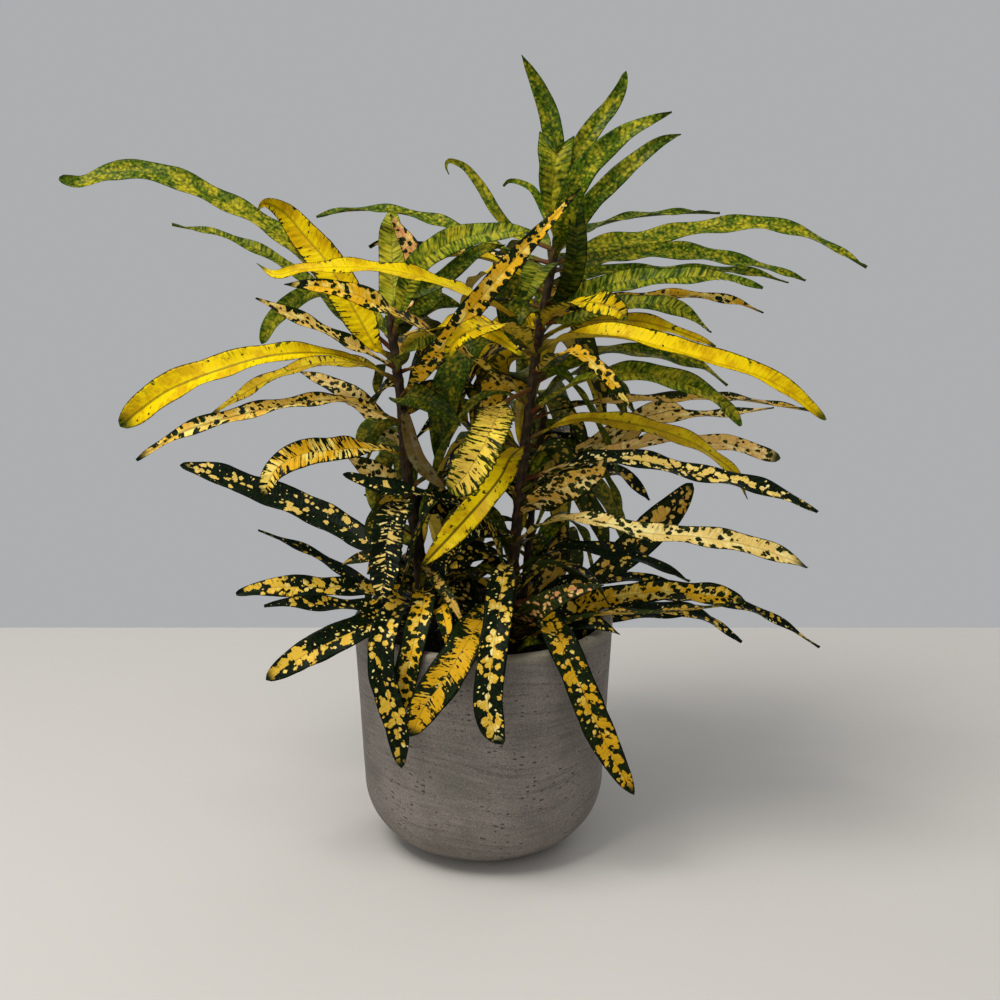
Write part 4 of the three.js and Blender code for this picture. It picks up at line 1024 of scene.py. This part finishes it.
def grown_leaves(name, first_number):
    """Leaves that the picture hides: each group arches away from the stems by its own ranges."""
    group = GROWN_LEAVES[name]
    rng = random.Random(group["seed"])
    grown = []
    for i in range(group["count"]):
        side, low, high = group["headings"][i % len(group["headings"])]
        places = STEM_PATHS[side]
        first, last = group["levels"]
        level = first + (last - first) * (i + 0.5) / group["count"]
        base = places[round(level * (len(places) - 1))]
        heading = math.radians(rng.uniform(low, high))
        way = np.array([math.cos(heading), math.sin(heading), 0.0])
        reach = min(rng.uniform(*group["reach"]), hidden_room(base, way))
        top = rng.uniform(*GROWN_TOP) * reach * (RISE_AT_SOIL - RISE_LOST * level)
        fall = rng.uniform(*group["fall"]) * reach
        sweep = np.array([-way[1], way[0], 0.0]) * reach * rng.uniform(-GROWN_SWEEP, GROWN_SWEEP)
        points = [base]
        for s in GROWN_SHARES:
            rise = top * 4 * s * (1 - s) ** ARCH_CURVE - fall * s**FALL_CURVE
            points.append(over_rim(base + way * reach * s + sweep * s**2 + np.array([0, 0, rise])))
        slot = rng.choice(group["slots"])
        facing_of = headed(heading, rng.uniform(-GROWN_ROLL, GROWN_ROLL))
        width = rng.uniform(*group["width"])
        piece = leaf_blade(f"{name}_{i + 1}", slot, points, facing_of, width, first_number + i, HIDDEN_STEP)
        grown.append((piece, slot))
    return grown


def bark_shape():
    """Woody stem along a rail: bark furrows, and a low ring where each old leaf has dropped."""
    tree, add, given = new_shape("woody_stem", {
        "Furrow depth": "Float", "Scar height": "Float", "Scar spacing": "Float", "Finish": "Material"})
    tube, turn = swept_ring(add, given["Geometry"], STEM_SIDES, True)
    run = add("rail number", "run")
    angle = add("MULTIPLY", turn, FULL_TURN)
    cosine = add("COSINE", angle)
    sine = add("SINE", angle)
    furrow_at = around(add, angle, FURROWS_AROUND, add("DIVIDE", run, FURROW_LENGTH))
    furrow = add("noise", furrow_at, sockets={"Scale": 1.0, "Detail": 4.0, "Roughness": 0.65})
    tilt = add("MULTIPLY_ADD", cosine, SCAR_TILT, add("MULTIPLY_ADD", furrow, SCAR_SWAY, run))
    ring = add("ABSOLUTE", add("COSINE", add("DIVIDE", tilt, given["Scar spacing"])))
    scar = add("POWER", ring, SCAR_SHARPNESS)
    depth = add("MULTIPLY", add("SUBTRACT", furrow, 0.5), given["Furrow depth"])
    radius = add("ADD", add("rail number", "half"), add("MULTIPLY_ADD", scar, given["Scar height"], depth))
    ways = {"across": add("MULTIPLY", cosine, radius), "upper": add("MULTIPLY", sine, radius)}
    shaped = add("GeometryNodeSetPosition", tube, sockets={"Position": moved_out(add, ways)})
    shaped = add("store", shaped, None, "bark_place", add("vector", run, turn, scar))
    close_shape(add, add("GeometryNodeFlipFaces", shaped), given["Finish"])
    return tree


def woody_stem(side, tree):
    """One stem, drawn out to a bud at its top."""
    thick, thin, _path = STEMS[side]
    places = STEM_PATHS[side]
    share = np.linspace(0, 1, len(places))
    along = unit(np.gradient(places, axis=0))
    upper = unit(np.cross(along, [1.0, 0.0, 0.0]))
    bud = np.clip((1 - share) / BUD_SHARE, 0, 1) ** 0.5
    half = (thick + (thin - thick) * share) * np.maximum(bud, BUD_TIP)
    piece = rail_object(f"wood_{side}", places, {"half": half, "run": run_along(places)},
                        {"centre": places * MM, "across": np.cross(along, upper), "upper": upper})
    return follow(piece, tree, {**BARK_RELIEF, "Finish": FINISHES["bark"]})


def arc(centre_radius, centre_height, radius, start, stop):
    """Places of radius and height along an arc, close enough to look round."""
    steps = max(3, round(abs(stop - start) * radius / ARC_STEP))
    angles = np.linspace(start, stop, steps + 1)
    return [(centre_radius + radius * math.cos(a), centre_height + radius * math.sin(a)) for a in angles]


def straight(start, stop):
    """Places between two places of radius and height, as close as an arc's."""
    steps = max(2, round(math.dist(start, stop) / ARC_STEP))
    shares = np.linspace(0, 1, steps + 1)[1:-1]
    return [tuple(np.array(start) + (np.array(stop) - np.array(start)) * s) for s in shares]


def filled(corners):
    """An outline with the long straight stretches between its corners divided."""
    outline = [corners[0]]
    for corner in corners[1:]:
        if math.dist(outline[-1], corner) > LONG_STRAIGHT:
            outline += straight(outline[-1], corner)
        outline.append(corner)
    return outline


def pot_outline():
    """The pot's section from the middle of its foot, over the rim and down to its floor."""
    down = -math.pi / 2
    middle = POT_RIM_RADIUS - POT_TAPER - POT_HEEL
    inner = POT_HEEL - POT_WALL
    rounding = POT_RIM_ROUNDING
    return filled([
        (0, 0), *arc(middle, POT_HEEL, POT_HEEL, down, 0),
        *arc(POT_RIM_RADIUS - rounding, POT_HEIGHT - rounding, rounding, 0, -down),
        *arc(POT_RIM_RADIUS - POT_WALL + rounding, POT_HEIGHT - rounding, rounding, -down, math.pi),
        *arc(middle, POT_FLOOR + inner, inner, 0, down), (0, POT_FLOOR)])


def soil_outline():
    """The soil's section: the inside of the pot, and a low mound on top."""
    down = -math.pi / 2
    middle = POT_RIM_RADIUS - POT_TAPER - POT_HEEL
    inner = POT_HEEL - POT_WALL - SOIL_GAP
    share = (SOIL_TOP - POT_HEEL) / (POT_HEIGHT - POT_HEEL)
    edge = POT_RIM_RADIUS - POT_TAPER + POT_TAPER * share - POT_WALL - SOIL_GAP
    mound = [(edge * (1 - s), SOIL_TOP + SOIL_MOUND * (1 - math.cos(math.pi * s)) / 2)
             for s in np.linspace(0, 1, MOUND_STEPS)]
    return filled([(0, POT_FLOOR + SOIL_GAP), *arc(middle, POT_FLOOR + inner + SOIL_GAP, inner, down, 0),
                   *mound])


def crumbs_on(add, given, shaped):
    """Loose crumbs on what faces up above the crumb level."""
    crumb = add("GeometryNodeMeshIcoSphere", sockets={"Radius": CRUMB_RADIUS * MM, "Subdivisions": 1})
    upright = add("parts", add("GeometryNodeInputNormal")).outputs["Z"]
    level = add("parts", add("GeometryNodeInputPosition")).outputs["Z"]
    on_top = add("FunctionNodeBooleanMath", add("GREATER_THAN", upright, FLAT_ENOUGH),
                 add("GREATER_THAN", level, given["Crumb level"]), operation="AND")
    spots = add("GeometryNodeDistributePointsOnFaces", shaped,
                sockets={"Selection": on_top, "Density": given["Crumbs"], "Seed": CRUMB_SEED})
    size = add("random vector", CRUMB_LEAST, CRUMB_MOST, sockets={"Seed": CRUMB_SEED + 1})
    spin = add("random vector", (0.0, 0.0, 0.0), CRUMB_TURN, sockets={"Seed": CRUMB_SEED + 2})
    return add("GeometryNodeInstanceOnPoints", spots,
               sockets={"Instance": crumb, "Scale": size, "Rotation": spin})


def turned_shape():
    """A wall turned about the upright axis from a rail of radius and height, with a hand-made unevenness.

    Its relief goes outwards, less so near the axis, and also upwards where the rail says that it lies
    flat.
    """
    tree, add, given = new_shape("turned_wall", {
        "Sides": "Int", "Relief": "Float", "Grain": "Float", "Crumbs": "Float", "Crumb level": "Float",
        "Finish": "Material"})
    wall, turn = swept_ring(add, given["Geometry"], given["Sides"], False)
    angle = add("MULTIPLY", turn, FULL_TURN)
    radius = add("rail number", "from_axis")
    height = add("rail number", "height")
    bare = around(add, angle, radius, height)
    rough = add("noise", add("scaled", bare, sockets={"Scale": given["Grain"]}),
                sockets={"Scale": 1.0, "Detail": 4.0})
    relief = add("MULTIPLY", add("SUBTRACT", rough, 0.5), given["Relief"])
    wider = add("ADD", radius, add("MULTIPLY", relief, add("ramp", radius, 0.0, AXIS_ROOM)))
    raised = add("ADD", height, add("MULTIPLY", relief, add("rail number", "lies")))
    place = add("scaled", around(add, angle, wider, raised), sockets={"Scale": MM})
    shaped = add("GeometryNodeSetPosition", wall, sockets={"Position": place})
    shaped = add("GeometryNodeMergeByDistance", shaped, sockets={"Distance": WELD * MM})
    both = add("GeometryNodeJoinGeometry", crumbs_on(add, given, shaped))
    feed(both, {0: shaped})
    close_shape(add, both, given["Finish"])
    return tree


def turned_piece(name, outline, tree, level, settings):
    """A turned piece whose relief also goes upwards where its outline is above a level."""
    rail = np.array([(radius, 0.0, height) for radius, height in outline], float)
    lies = np.where(rail[:, 2] > level, 1.0, 0.0)
    piece = rail_object(name, rail, {"from_axis": rail[:, 0], "height": rail[:, 2], "lies": lies}, {})
    return follow(piece, tree, settings)


def leaf_values(add):
    """What each point of a leaf carries, by name, and the patterns on its side veins there."""
    leaf = {}
    for label, names in CARRIED.items():
        values = add("parts", add("carried", attribute_name=label).outputs["Vector"]).outputs
        leaf.update(zip(names, values))
    leaf["away"] = add("ABSOLUTE", leaf["side"])
    leaf["half"] = add("SIGN", leaf["side"])
    leaf["vein"] = add("MULTIPLY_ADD", leaf["away"], -VEIN_SLANT, leaf["run"])
    seed = add("MULTIPLY_ADD", leaf["number"], LEAF_SHIFT, add("MULTIPLY", leaf["half"], HALF_SHIFT))
    for place, (label, (kind, along, across, inputs)) in enumerate(VEIN_PATTERNS.items(), 2):
        where = add("vector", add("DIVIDE", leaf["vein"], along), add("DIVIDE", leaf["side"], across),
                    add("ADD", seed, PATTERN_SHIFT * place))
        leaf[label] = add(kind, where, sockets={"Scale": 1.0, **inputs})
    return leaf


def spot_gaps(add, leaf, spot):
    """How far a point is from the middle of the nearest blotch, or of the nearest dark island."""
    bend = add("parts", leaf["bend"].outputs["Color"]).outputs
    slant = add("MULTIPLY", add("MULTIPLY", leaf["away"], leaf["stripes"]), -VEIN_SLANT)
    run = add("ADD", add("MULTIPLY_ADD", bend[0], SPOT_BEND, leaf["run"]), slant)
    side = add("MULTIPLY_ADD", bend[1], SPOT_BEND, leaf["side"])
    layer = add("MULTIPLY_ADD", leaf["number"], LEAF_SHIFT, add("MULTIPLY", leaf["half"], LAYER_STEP))
    where = add("vector", add("DIVIDE", run, spot * SPOT_LENGTH), add("DIVIDE", side, spot), layer)
    spots = add("cells", where, feature="SMOOTH_F1", sockets={"Scale": 1.0, "Smoothness": 0.2})
    blotches = spots.outputs["Distance"]
    islands = add("SUBTRACT", 1.05, blotches)
    mostly_yellow = add("ramp", leaf["yellow"], 0.5, 0.8)
    return add("between", sockets={"Factor": mostly_yellow, "A": blotches, "B": islands})


def leaf_marks(add, leaf, look):
    """Where a leaf is marked: blotches in the middle of the blade, streaks on its veins, and flecks."""
    streaks = add("MULTIPLY_ADD", leaf["streak"], STREAK_SLOPE, STREAK_START)
    gaps = add("between", sockets={"Factor": add("MULTIPLY", leaf["stripes"], 0.9),
                                   "A": spot_gaps(add, leaf, look["spot"]), "B": streaks})
    centre_line = add("MULTIPLY", add("ramp", leaf["away"], 1.8, 0.3), add("MAXIMUM", leaf["midrib"], 0.0))
    rim = add("MULTIPLY", add("POWER", leaf["edge"], 4.0), leaf["margin"])
    zones = add("MULTIPLY_ADD", leaf["stripes"], -0.75 * look["zones"], look["zones"])
    level = add("MULTIPLY_ADD", add("SUBTRACT", leaf["region"], 0.5), zones,
                add("MULTIPLY_ADD", leaf["yellow"], MARK_BY_YELLOW, MARK_START))
    level = add("MULTIPLY_ADD", rim, MARK_BY_MARGIN, level)
    level = add("MULTIPLY_ADD", centre_line, MARK_BY_MIDRIB, level)
    ragged = add("MULTIPLY_ADD", leaf["yellow"], RAGGED_BY_YELLOW, RAGGED_LEAST)
    level = add("MULTIPLY_ADD", add("SUBTRACT", leaf["fine"], 0.5), ragged, level)
    inside = add("SUBTRACT", level, gaps)
    patch = add("ramp", inside, -look["soft"], look["soft"])
    ripe = add("MULTIPLY_ADD", add("ABSOLUTE", inside), -0.3, leaf["region"])
    leaf["ripe"] = add("MULTIPLY_ADD", add("SUBTRACT", leaf["fine"], 0.5), 0.4, ripe)

    chosen = add("parts", leaf["freckles"].outputs["Color"]).outputs[0]
    size = add("MULTIPLY", add("ramp", chosen, 0.3, 1.0, 0.0, FLECK_MOST), leaf["flecks"])
    fleck = add("SUBTRACT", size, leaf["freckles"].outputs["Distance"])
    fleck = add("ramp", fleck, 0.0, 0.05 + look["soft"])
    before_tip = add("ramp", leaf["share"], 0.94, 0.99, 1.0, 0.0)
    return add("MULTIPLY", add("MAXIMUM", patch, fleck), before_tip)


def leaf_colour(add, leaf, look, marked):
    """The leaf's colour on both faces, from its stalk to its tip."""
    grounds = add("between", sockets={"Factor": leaf["stripes"], "A": leaf["fine"], "B": leaf["streak"]})
    ground = add("tint", add("ramp", grounds, 0.35, 0.65), look["deep"], look["light"])
    ripe = add("tint", add("ramp", leaf["ripe"], 0.3, 0.53), look["pale"], look["gold"])
    ripe = add("tint", add("MULTIPLY", leaf["pale"], 0.75), ripe, CREAM)
    blush = add("MULTIPLY", leaf["pink"], add("ramp", leaf["fine"], 0.42, 0.62))
    ripe = add("tint", blush, ripe, look["blush"])
    lines = add("ABSOLUTE", add("SUBTRACT", leaf["crossing"], 0.5))
    line = add("MULTIPLY", add("ramp", lines, 0.03, 0.0), add("ramp", leaf["edge"], 0.1, 0.9, 0.15, 0.75))
    ripe = add("tint", line, ripe, look["light"])
    colour = add("tint", marked, ground, ripe)

    midrib = add("MULTIPLY", add("ramp", leaf["away"], 0.9, 0.4), add("MULTIPLY", leaf["midrib"], -0.8))
    midrib = add("MAXIMUM", midrib, add("ramp", leaf["away"], 0.5, 0.2, 0.0, 0.3))
    colour = add("tint", midrib, colour, look["deep"])
    hem_at = add("MULTIPLY_ADD", leaf["fine"], 0.14, leaf["edge"])
    hem = add("MULTIPLY", add("ramp", hem_at, 0.98, 1.03), add("MULTIPLY", leaf["margin"], 0.85))
    colour = add("tint", hem, colour, look["deep"])
    colour = add("tint", add("MULTIPLY", leaf["dull"], 0.7), colour, DULL_TAN)

    below = add("tint", marked, UNDER_GREEN, UNDER_YELLOW)
    colour = add("tint", add("MULTIPLY", leaf["under"], 0.6), colour, below)
    chance = add("ShaderNodeTexWhiteNoise", noise_dimensions="1D", sockets={"W": leaf["number"]}).outputs[0]
    stalk = add("tint", chance, STALK_RED, STALK_OLIVE)
    colour = add("tint", add("ramp", leaf["share"], 0.04, -0.02), colour, stalk)
    # Painted shade and tone: the colour is scaled by the leaf's shade trait, with a little random spread
    # from leaf to leaf
    shade = add("MULTIPLY", leaf["shade"], add("ramp", chance, 0.0, 1.0, 0.86, 1.04))
    return add("tint", 1.0, colour, shade, blend_type="MULTIPLY")


# Waxy croton leaf. The thin cuticle gives a satin gloss that the side veins break up. The tissue under
# it is dark green where it is alive, and yellow, cream or pink where it isn't: round spots that run
# together into crisp blotches in the middle of the blade, and stay small flecks by its dark margin.
def waxy_leaf(look):
    material, add, shader = new_finish(look["name"])
    leaf = leaf_values(add)
    colour = leaf_colour(add, leaf, look, leaf_marks(add, leaf, look))
    gloss = add("MULTIPLY_ADD", leaf["under"], 0.15, add("MULTIPLY_ADD", leaf["fine"], 0.08, 0.42))
    bent = add("MULTIPLY", leaf["region"], RIB_DRIFT)
    ripple = add("COSINE", add("MULTIPLY_ADD", leaf["vein"], FULL_TURN / RIPPLE_SPACING, bent))
    relief = add("MULTIPLY_ADD", ripple, 0.4, add("MULTIPLY", leaf["fine"], 0.6))
    bump = add("bump", sockets={"Strength": 0.5, "Distance": 0.12 * MM, "Height": relief})
    feed(shader, {"Base Color": colour, "Roughness": gloss, "Normal": bump, "IOR": 1.4,
                  "Specular IOR Level": 0.1})
    return material


def cement_marks(add, where):
    """The brush's strokes, the mottle, the grit and the pits of cement at a place."""
    x, y, z = add("parts", where).outputs
    bow = add("noise", where, sockets={"Scale": 1 / (BOW_LENGTH * MM), "Detail": 1.0})
    bowed = add("MULTIPLY_ADD", bow, BOW_HEIGHT * MM, z)
    brush_at = add("vector", add("DIVIDE", x, BRUSH_LENGTH * MM), add("DIVIDE", y, BRUSH_LENGTH * MM),
                   add("DIVIDE", bowed, BRUSH_WIDTH * MM))
    brush = add("noise", brush_at, sockets={"Scale": 1.0, "Detail": 4.0, "Roughness": 0.65})
    mottle = add("noise", where, sockets={"Scale": 1 / (MOTTLE_SIZE * MM), "Detail": 4.0, "Roughness": 0.6})
    grit = add("noise", where, sockets={"Scale": 1 / (GRIT_SIZE * MM), "Detail": 2.0})
    pit_at = add("vector", add("DIVIDE", x, PIT_LENGTH * MM), add("DIVIDE", y, PIT_LENGTH * MM),
                 add("DIVIDE", bowed, PIT_HEIGHT * MM))
    pits = add("cells", pit_at, sockets={"Scale": 1.0})
    chosen = add("parts", pits.outputs["Color"]).outputs[0]
    drift = add("ramp", mottle, 0.38, 0.62, 0.14, 0.46)
    room = add("MULTIPLY", add("ramp", chosen, 0.55, 1.0), drift)
    chipped = add("MULTIPLY_ADD", add("SUBTRACT", grit, 0.5), 0.5, room)
    pit = add("ramp", add("SUBTRACT", chipped, pits.outputs["Distance"]), 0.0, 0.1)
    return brush, mottle, grit, pit


# Cast cement, brushed while it set. It is matte and chalky, with faint level brush arcs, a mottle of
# damp and lime, small long pits where air was caught, and a paler rim that hands have worn.
# Inside, below the rim, the wall is darkened as painted shade.
def cast_cement():
    material, add, shader = new_finish("cast_cement")
    where = add("ShaderNodeTexCoord").outputs["Object"]
    x, y, z = add("parts", where).outputs
    brush, mottle, grit, pit = cement_marks(add, where)
    from_axis = add("SQRT", add("MULTIPLY_ADD", x, x, add("MULTIPLY", y, y)))
    # Painted shade: inside the pot, from just below the rim down to half its height, the wall is darkened
    # to stand in for the shadow there
    inside = add("LESS_THAN", from_axis, (POT_RIM_RADIUS - 0.85 * POT_WALL) * MM)
    low = add("ramp", z, (POT_HEIGHT - INNER_SHADE_START) * MM, (POT_HEIGHT - INNER_SHADE_FULL) * MM, 0.0, 0.85)
    inner_shade = add("MULTIPLY", add("MULTIPLY", inside, low), add("GREATER_THAN", z, POT_HEIGHT / 2 * MM))
    worn = add("ramp", z, (POT_HEIGHT - WORN_END) * MM, (POT_HEIGHT - WORN_FULL) * MM)
    colour = add("tint", add("ramp", mottle, 0.35, 0.65), CEMENT, CEMENT_LIGHT)
    for cover, tone in (
            (add("ramp", brush, 0.5, 0.72, 0.0, 0.4), BRUSHED_LIGHT),
            (add("ramp", brush, 0.47, 0.34, 0.0, 0.6), BRUSHED_DARK),
            (add("ramp", grit, 0.48, 0.7, 0.0, 0.6), GRIT_DARK),
            (add("ramp", grit, 0.48, 0.28, 0.0, 0.5), GRIT_LIGHT),
            (add("MULTIPLY", add("ramp", mottle, 0.5, 0.3), 0.15), DAMP_GREEN),
            (add("MULTIPLY", pit, 0.85), PIT_SHADE),
            (inner_shade, PAINTED_SHADE_INSIDE),
            (add("MULTIPLY", worn, 0.35), WORN_RIM)):
        colour = add("tint", cover, colour, tone)
    relief = add("MULTIPLY_ADD", brush, 0.6, add("MULTIPLY", grit, 0.25))
    relief = add("MULTIPLY_ADD", pit, -1.2, relief)
    bump = add("bump", sockets={"Strength": 0.6, "Distance": 0.35 * MM, "Height": relief})
    gloss = add("MULTIPLY_ADD", grit, 0.16, 0.74)
    feed(shader, {"Base Color": colour, "Roughness": gloss, "Normal": bump, "IOR": 1.5})
    return material


# Moist peat potting soil: nearly black crumbs with a few lighter fibres, and hardly any gloss.
def peat_soil():
    material, add, shader = new_finish("peat_soil")
    where = add("ShaderNodeTexCoord").outputs["Object"]
    crumb = add("noise", where, sockets={"Scale": 1 / (PEAT_GRAIN * MM), "Detail": 4.0, "Roughness": 0.7})
    colour = add("tint", add("ramp", crumb, 0.35, 0.7), PEAT_DARK, PEAT_LIGHT)
    bump = add("bump", sockets={"Strength": 0.8, "Distance": 0.5 * MM, "Height": crumb})
    feed(shader, {"Base Color": colour, "Normal": bump, "Roughness": 0.92})
    return material


# Young bark: grey-brown cork, dull, with pale lengthwise cracks and a lighter lip at each leaf scar.
def young_bark():
    material, add, shader = new_finish("young_bark")
    place = add("carried", attribute_name="bark_place").outputs["Vector"]
    run, turn, scar = add("parts", place).outputs
    angle = add("MULTIPLY", turn, FULL_TURN)
    streak_at = around(add, angle, BARK_STREAKS_AROUND, add("DIVIDE", run, BARK_STREAK_LENGTH))
    streak = add("noise", streak_at, sockets={"Scale": 1.0, "Detail": 5.0, "Roughness": 0.7})
    colour = add("tint", add("ramp", streak, 0.35, 0.68), BARK_DARK, BARK_LIGHT)
    colour = add("tint", add("MULTIPLY", scar, 0.3), colour, SCAR_LIP)
    bump = add("bump", sockets={"Strength": 0.7, "Distance": 0.3 * MM, "Height": streak})
    feed(shader, {"Base Color": colour, "Normal": bump, "Roughness": 0.72, "Specular IOR Level": 0.2})
    return material


def camera():
    """The camera at the picture's own angle."""
    data = bpy.data.cameras.new("camera")
    data.sensor_width = SENSOR
    data.lens = FOCAL / PICTURE * SENSOR
    eye = bpy.data.objects.new("camera", data)
    eye.location = (SIDE * MM, -DISTANCE * MM, HEIGHT * MM)
    eye.rotation_euler = (math.pi / 2 - PITCH, 0, 0)
    bpy.context.collection.objects.link(eye)
    bpy.context.scene.camera = eye


def floor():
    """A plain pale floor."""
    mesh = bpy.data.meshes.new("floor")
    corners = [(-FLOOR_REACH, FLOOR_NEAR, 0), (FLOOR_REACH, FLOOR_NEAR, 0),
               (FLOOR_REACH, FLOOR_FAR, 0), (-FLOOR_REACH, FLOOR_FAR, 0)]
    mesh.from_pydata(corners, [], [(0, 1, 2, 3)])
    piece = bpy.data.objects.new("floor", mesh)
    bpy.context.collection.objects.link(piece)
    material, _add, shader = new_finish("pale_floor")
    feed(shader, {"Base Color": FLOOR_COLOUR, "Roughness": 0.8})
    mesh.materials.append(material)


def lamp(name, place, size, power, colour):
    """A soft square lamp aimed at the middle of the plant."""
    data = bpy.data.lights.new(name, "AREA")
    data.energy = power
    data.size = size
    data.color = colour
    light = bpy.data.objects.new(name, data)
    light.location = place
    light.rotation_euler = (AIM - Vector(place)).to_track_quat("-Z", "Y").to_euler()
    bpy.context.collection.objects.link(light)


def surroundings():
    """Plain soft light from all round, strongest from above."""
    world = bpy.data.worlds.new("studio")
    world.use_nodes = True
    feed(world.node_tree.nodes["Background"], ROOM_LIGHT)
    bpy.context.scene.world = world
    bpy.context.scene.view_settings.view_transform = "Standard"
    for name, settings in LAMPS.items():
        lamp(name, *settings)


FINISHES = {slot: waxy_leaf(look) for slot, look in LEAF_LOOKS.items()}
FINISHES |= {"cement": cast_cement(), "soil": peat_soil(), "bark": young_bark()}
STEM_PATHS = {side: smooth_path([seen(*place) for place in stem[2]], STEM_STEP)[0]
              for side, stem in STEMS.items()}
BLADE = blade_shape()
BARK = bark_shape()
TURNED = turned_shape()

camera()
floor()
surroundings()

slots = {part["node"]: part["material_slot"] for part in frame["record"]["subparts"]}
made = []
for number, (name, leaf) in enumerate(LEAVES.items(), 1):
    slot = slots[f"leaf_{name}"]
    made.append((read_leaf(name, slot, *leaf, number), slot, f"leaf_{name}"))
for number, (name, leaf) in enumerate(SMALL_LEAVES.items(), len(made) + 1):
    made.append((read_leaf(name, *leaf, number), leaf[0]))
for group in GROWN_LEAVES:
    made += grown_leaves(group, len(made) + 1)
for side in STEMS:
    made.append((woody_stem(side, BARK), "bark", f"stem_{side}"))

pot = turned_piece("cement_pot", pot_outline(), TURNED, math.inf,
                   {**POT_TURNING, "Finish": FINISHES["cement"]})
soil = turned_piece("peat", soil_outline(), TURNED, SOIL_TOP, {**SOIL_TURNING, "Finish": FINISHES["soil"]})
made += [(pot, "cement", "pot"), (soil, "soil", "potting_soil")]

settle([row[0] for row in made])
for piece, slot, *nodes in made:
    attach(piece, slot, *nodes)
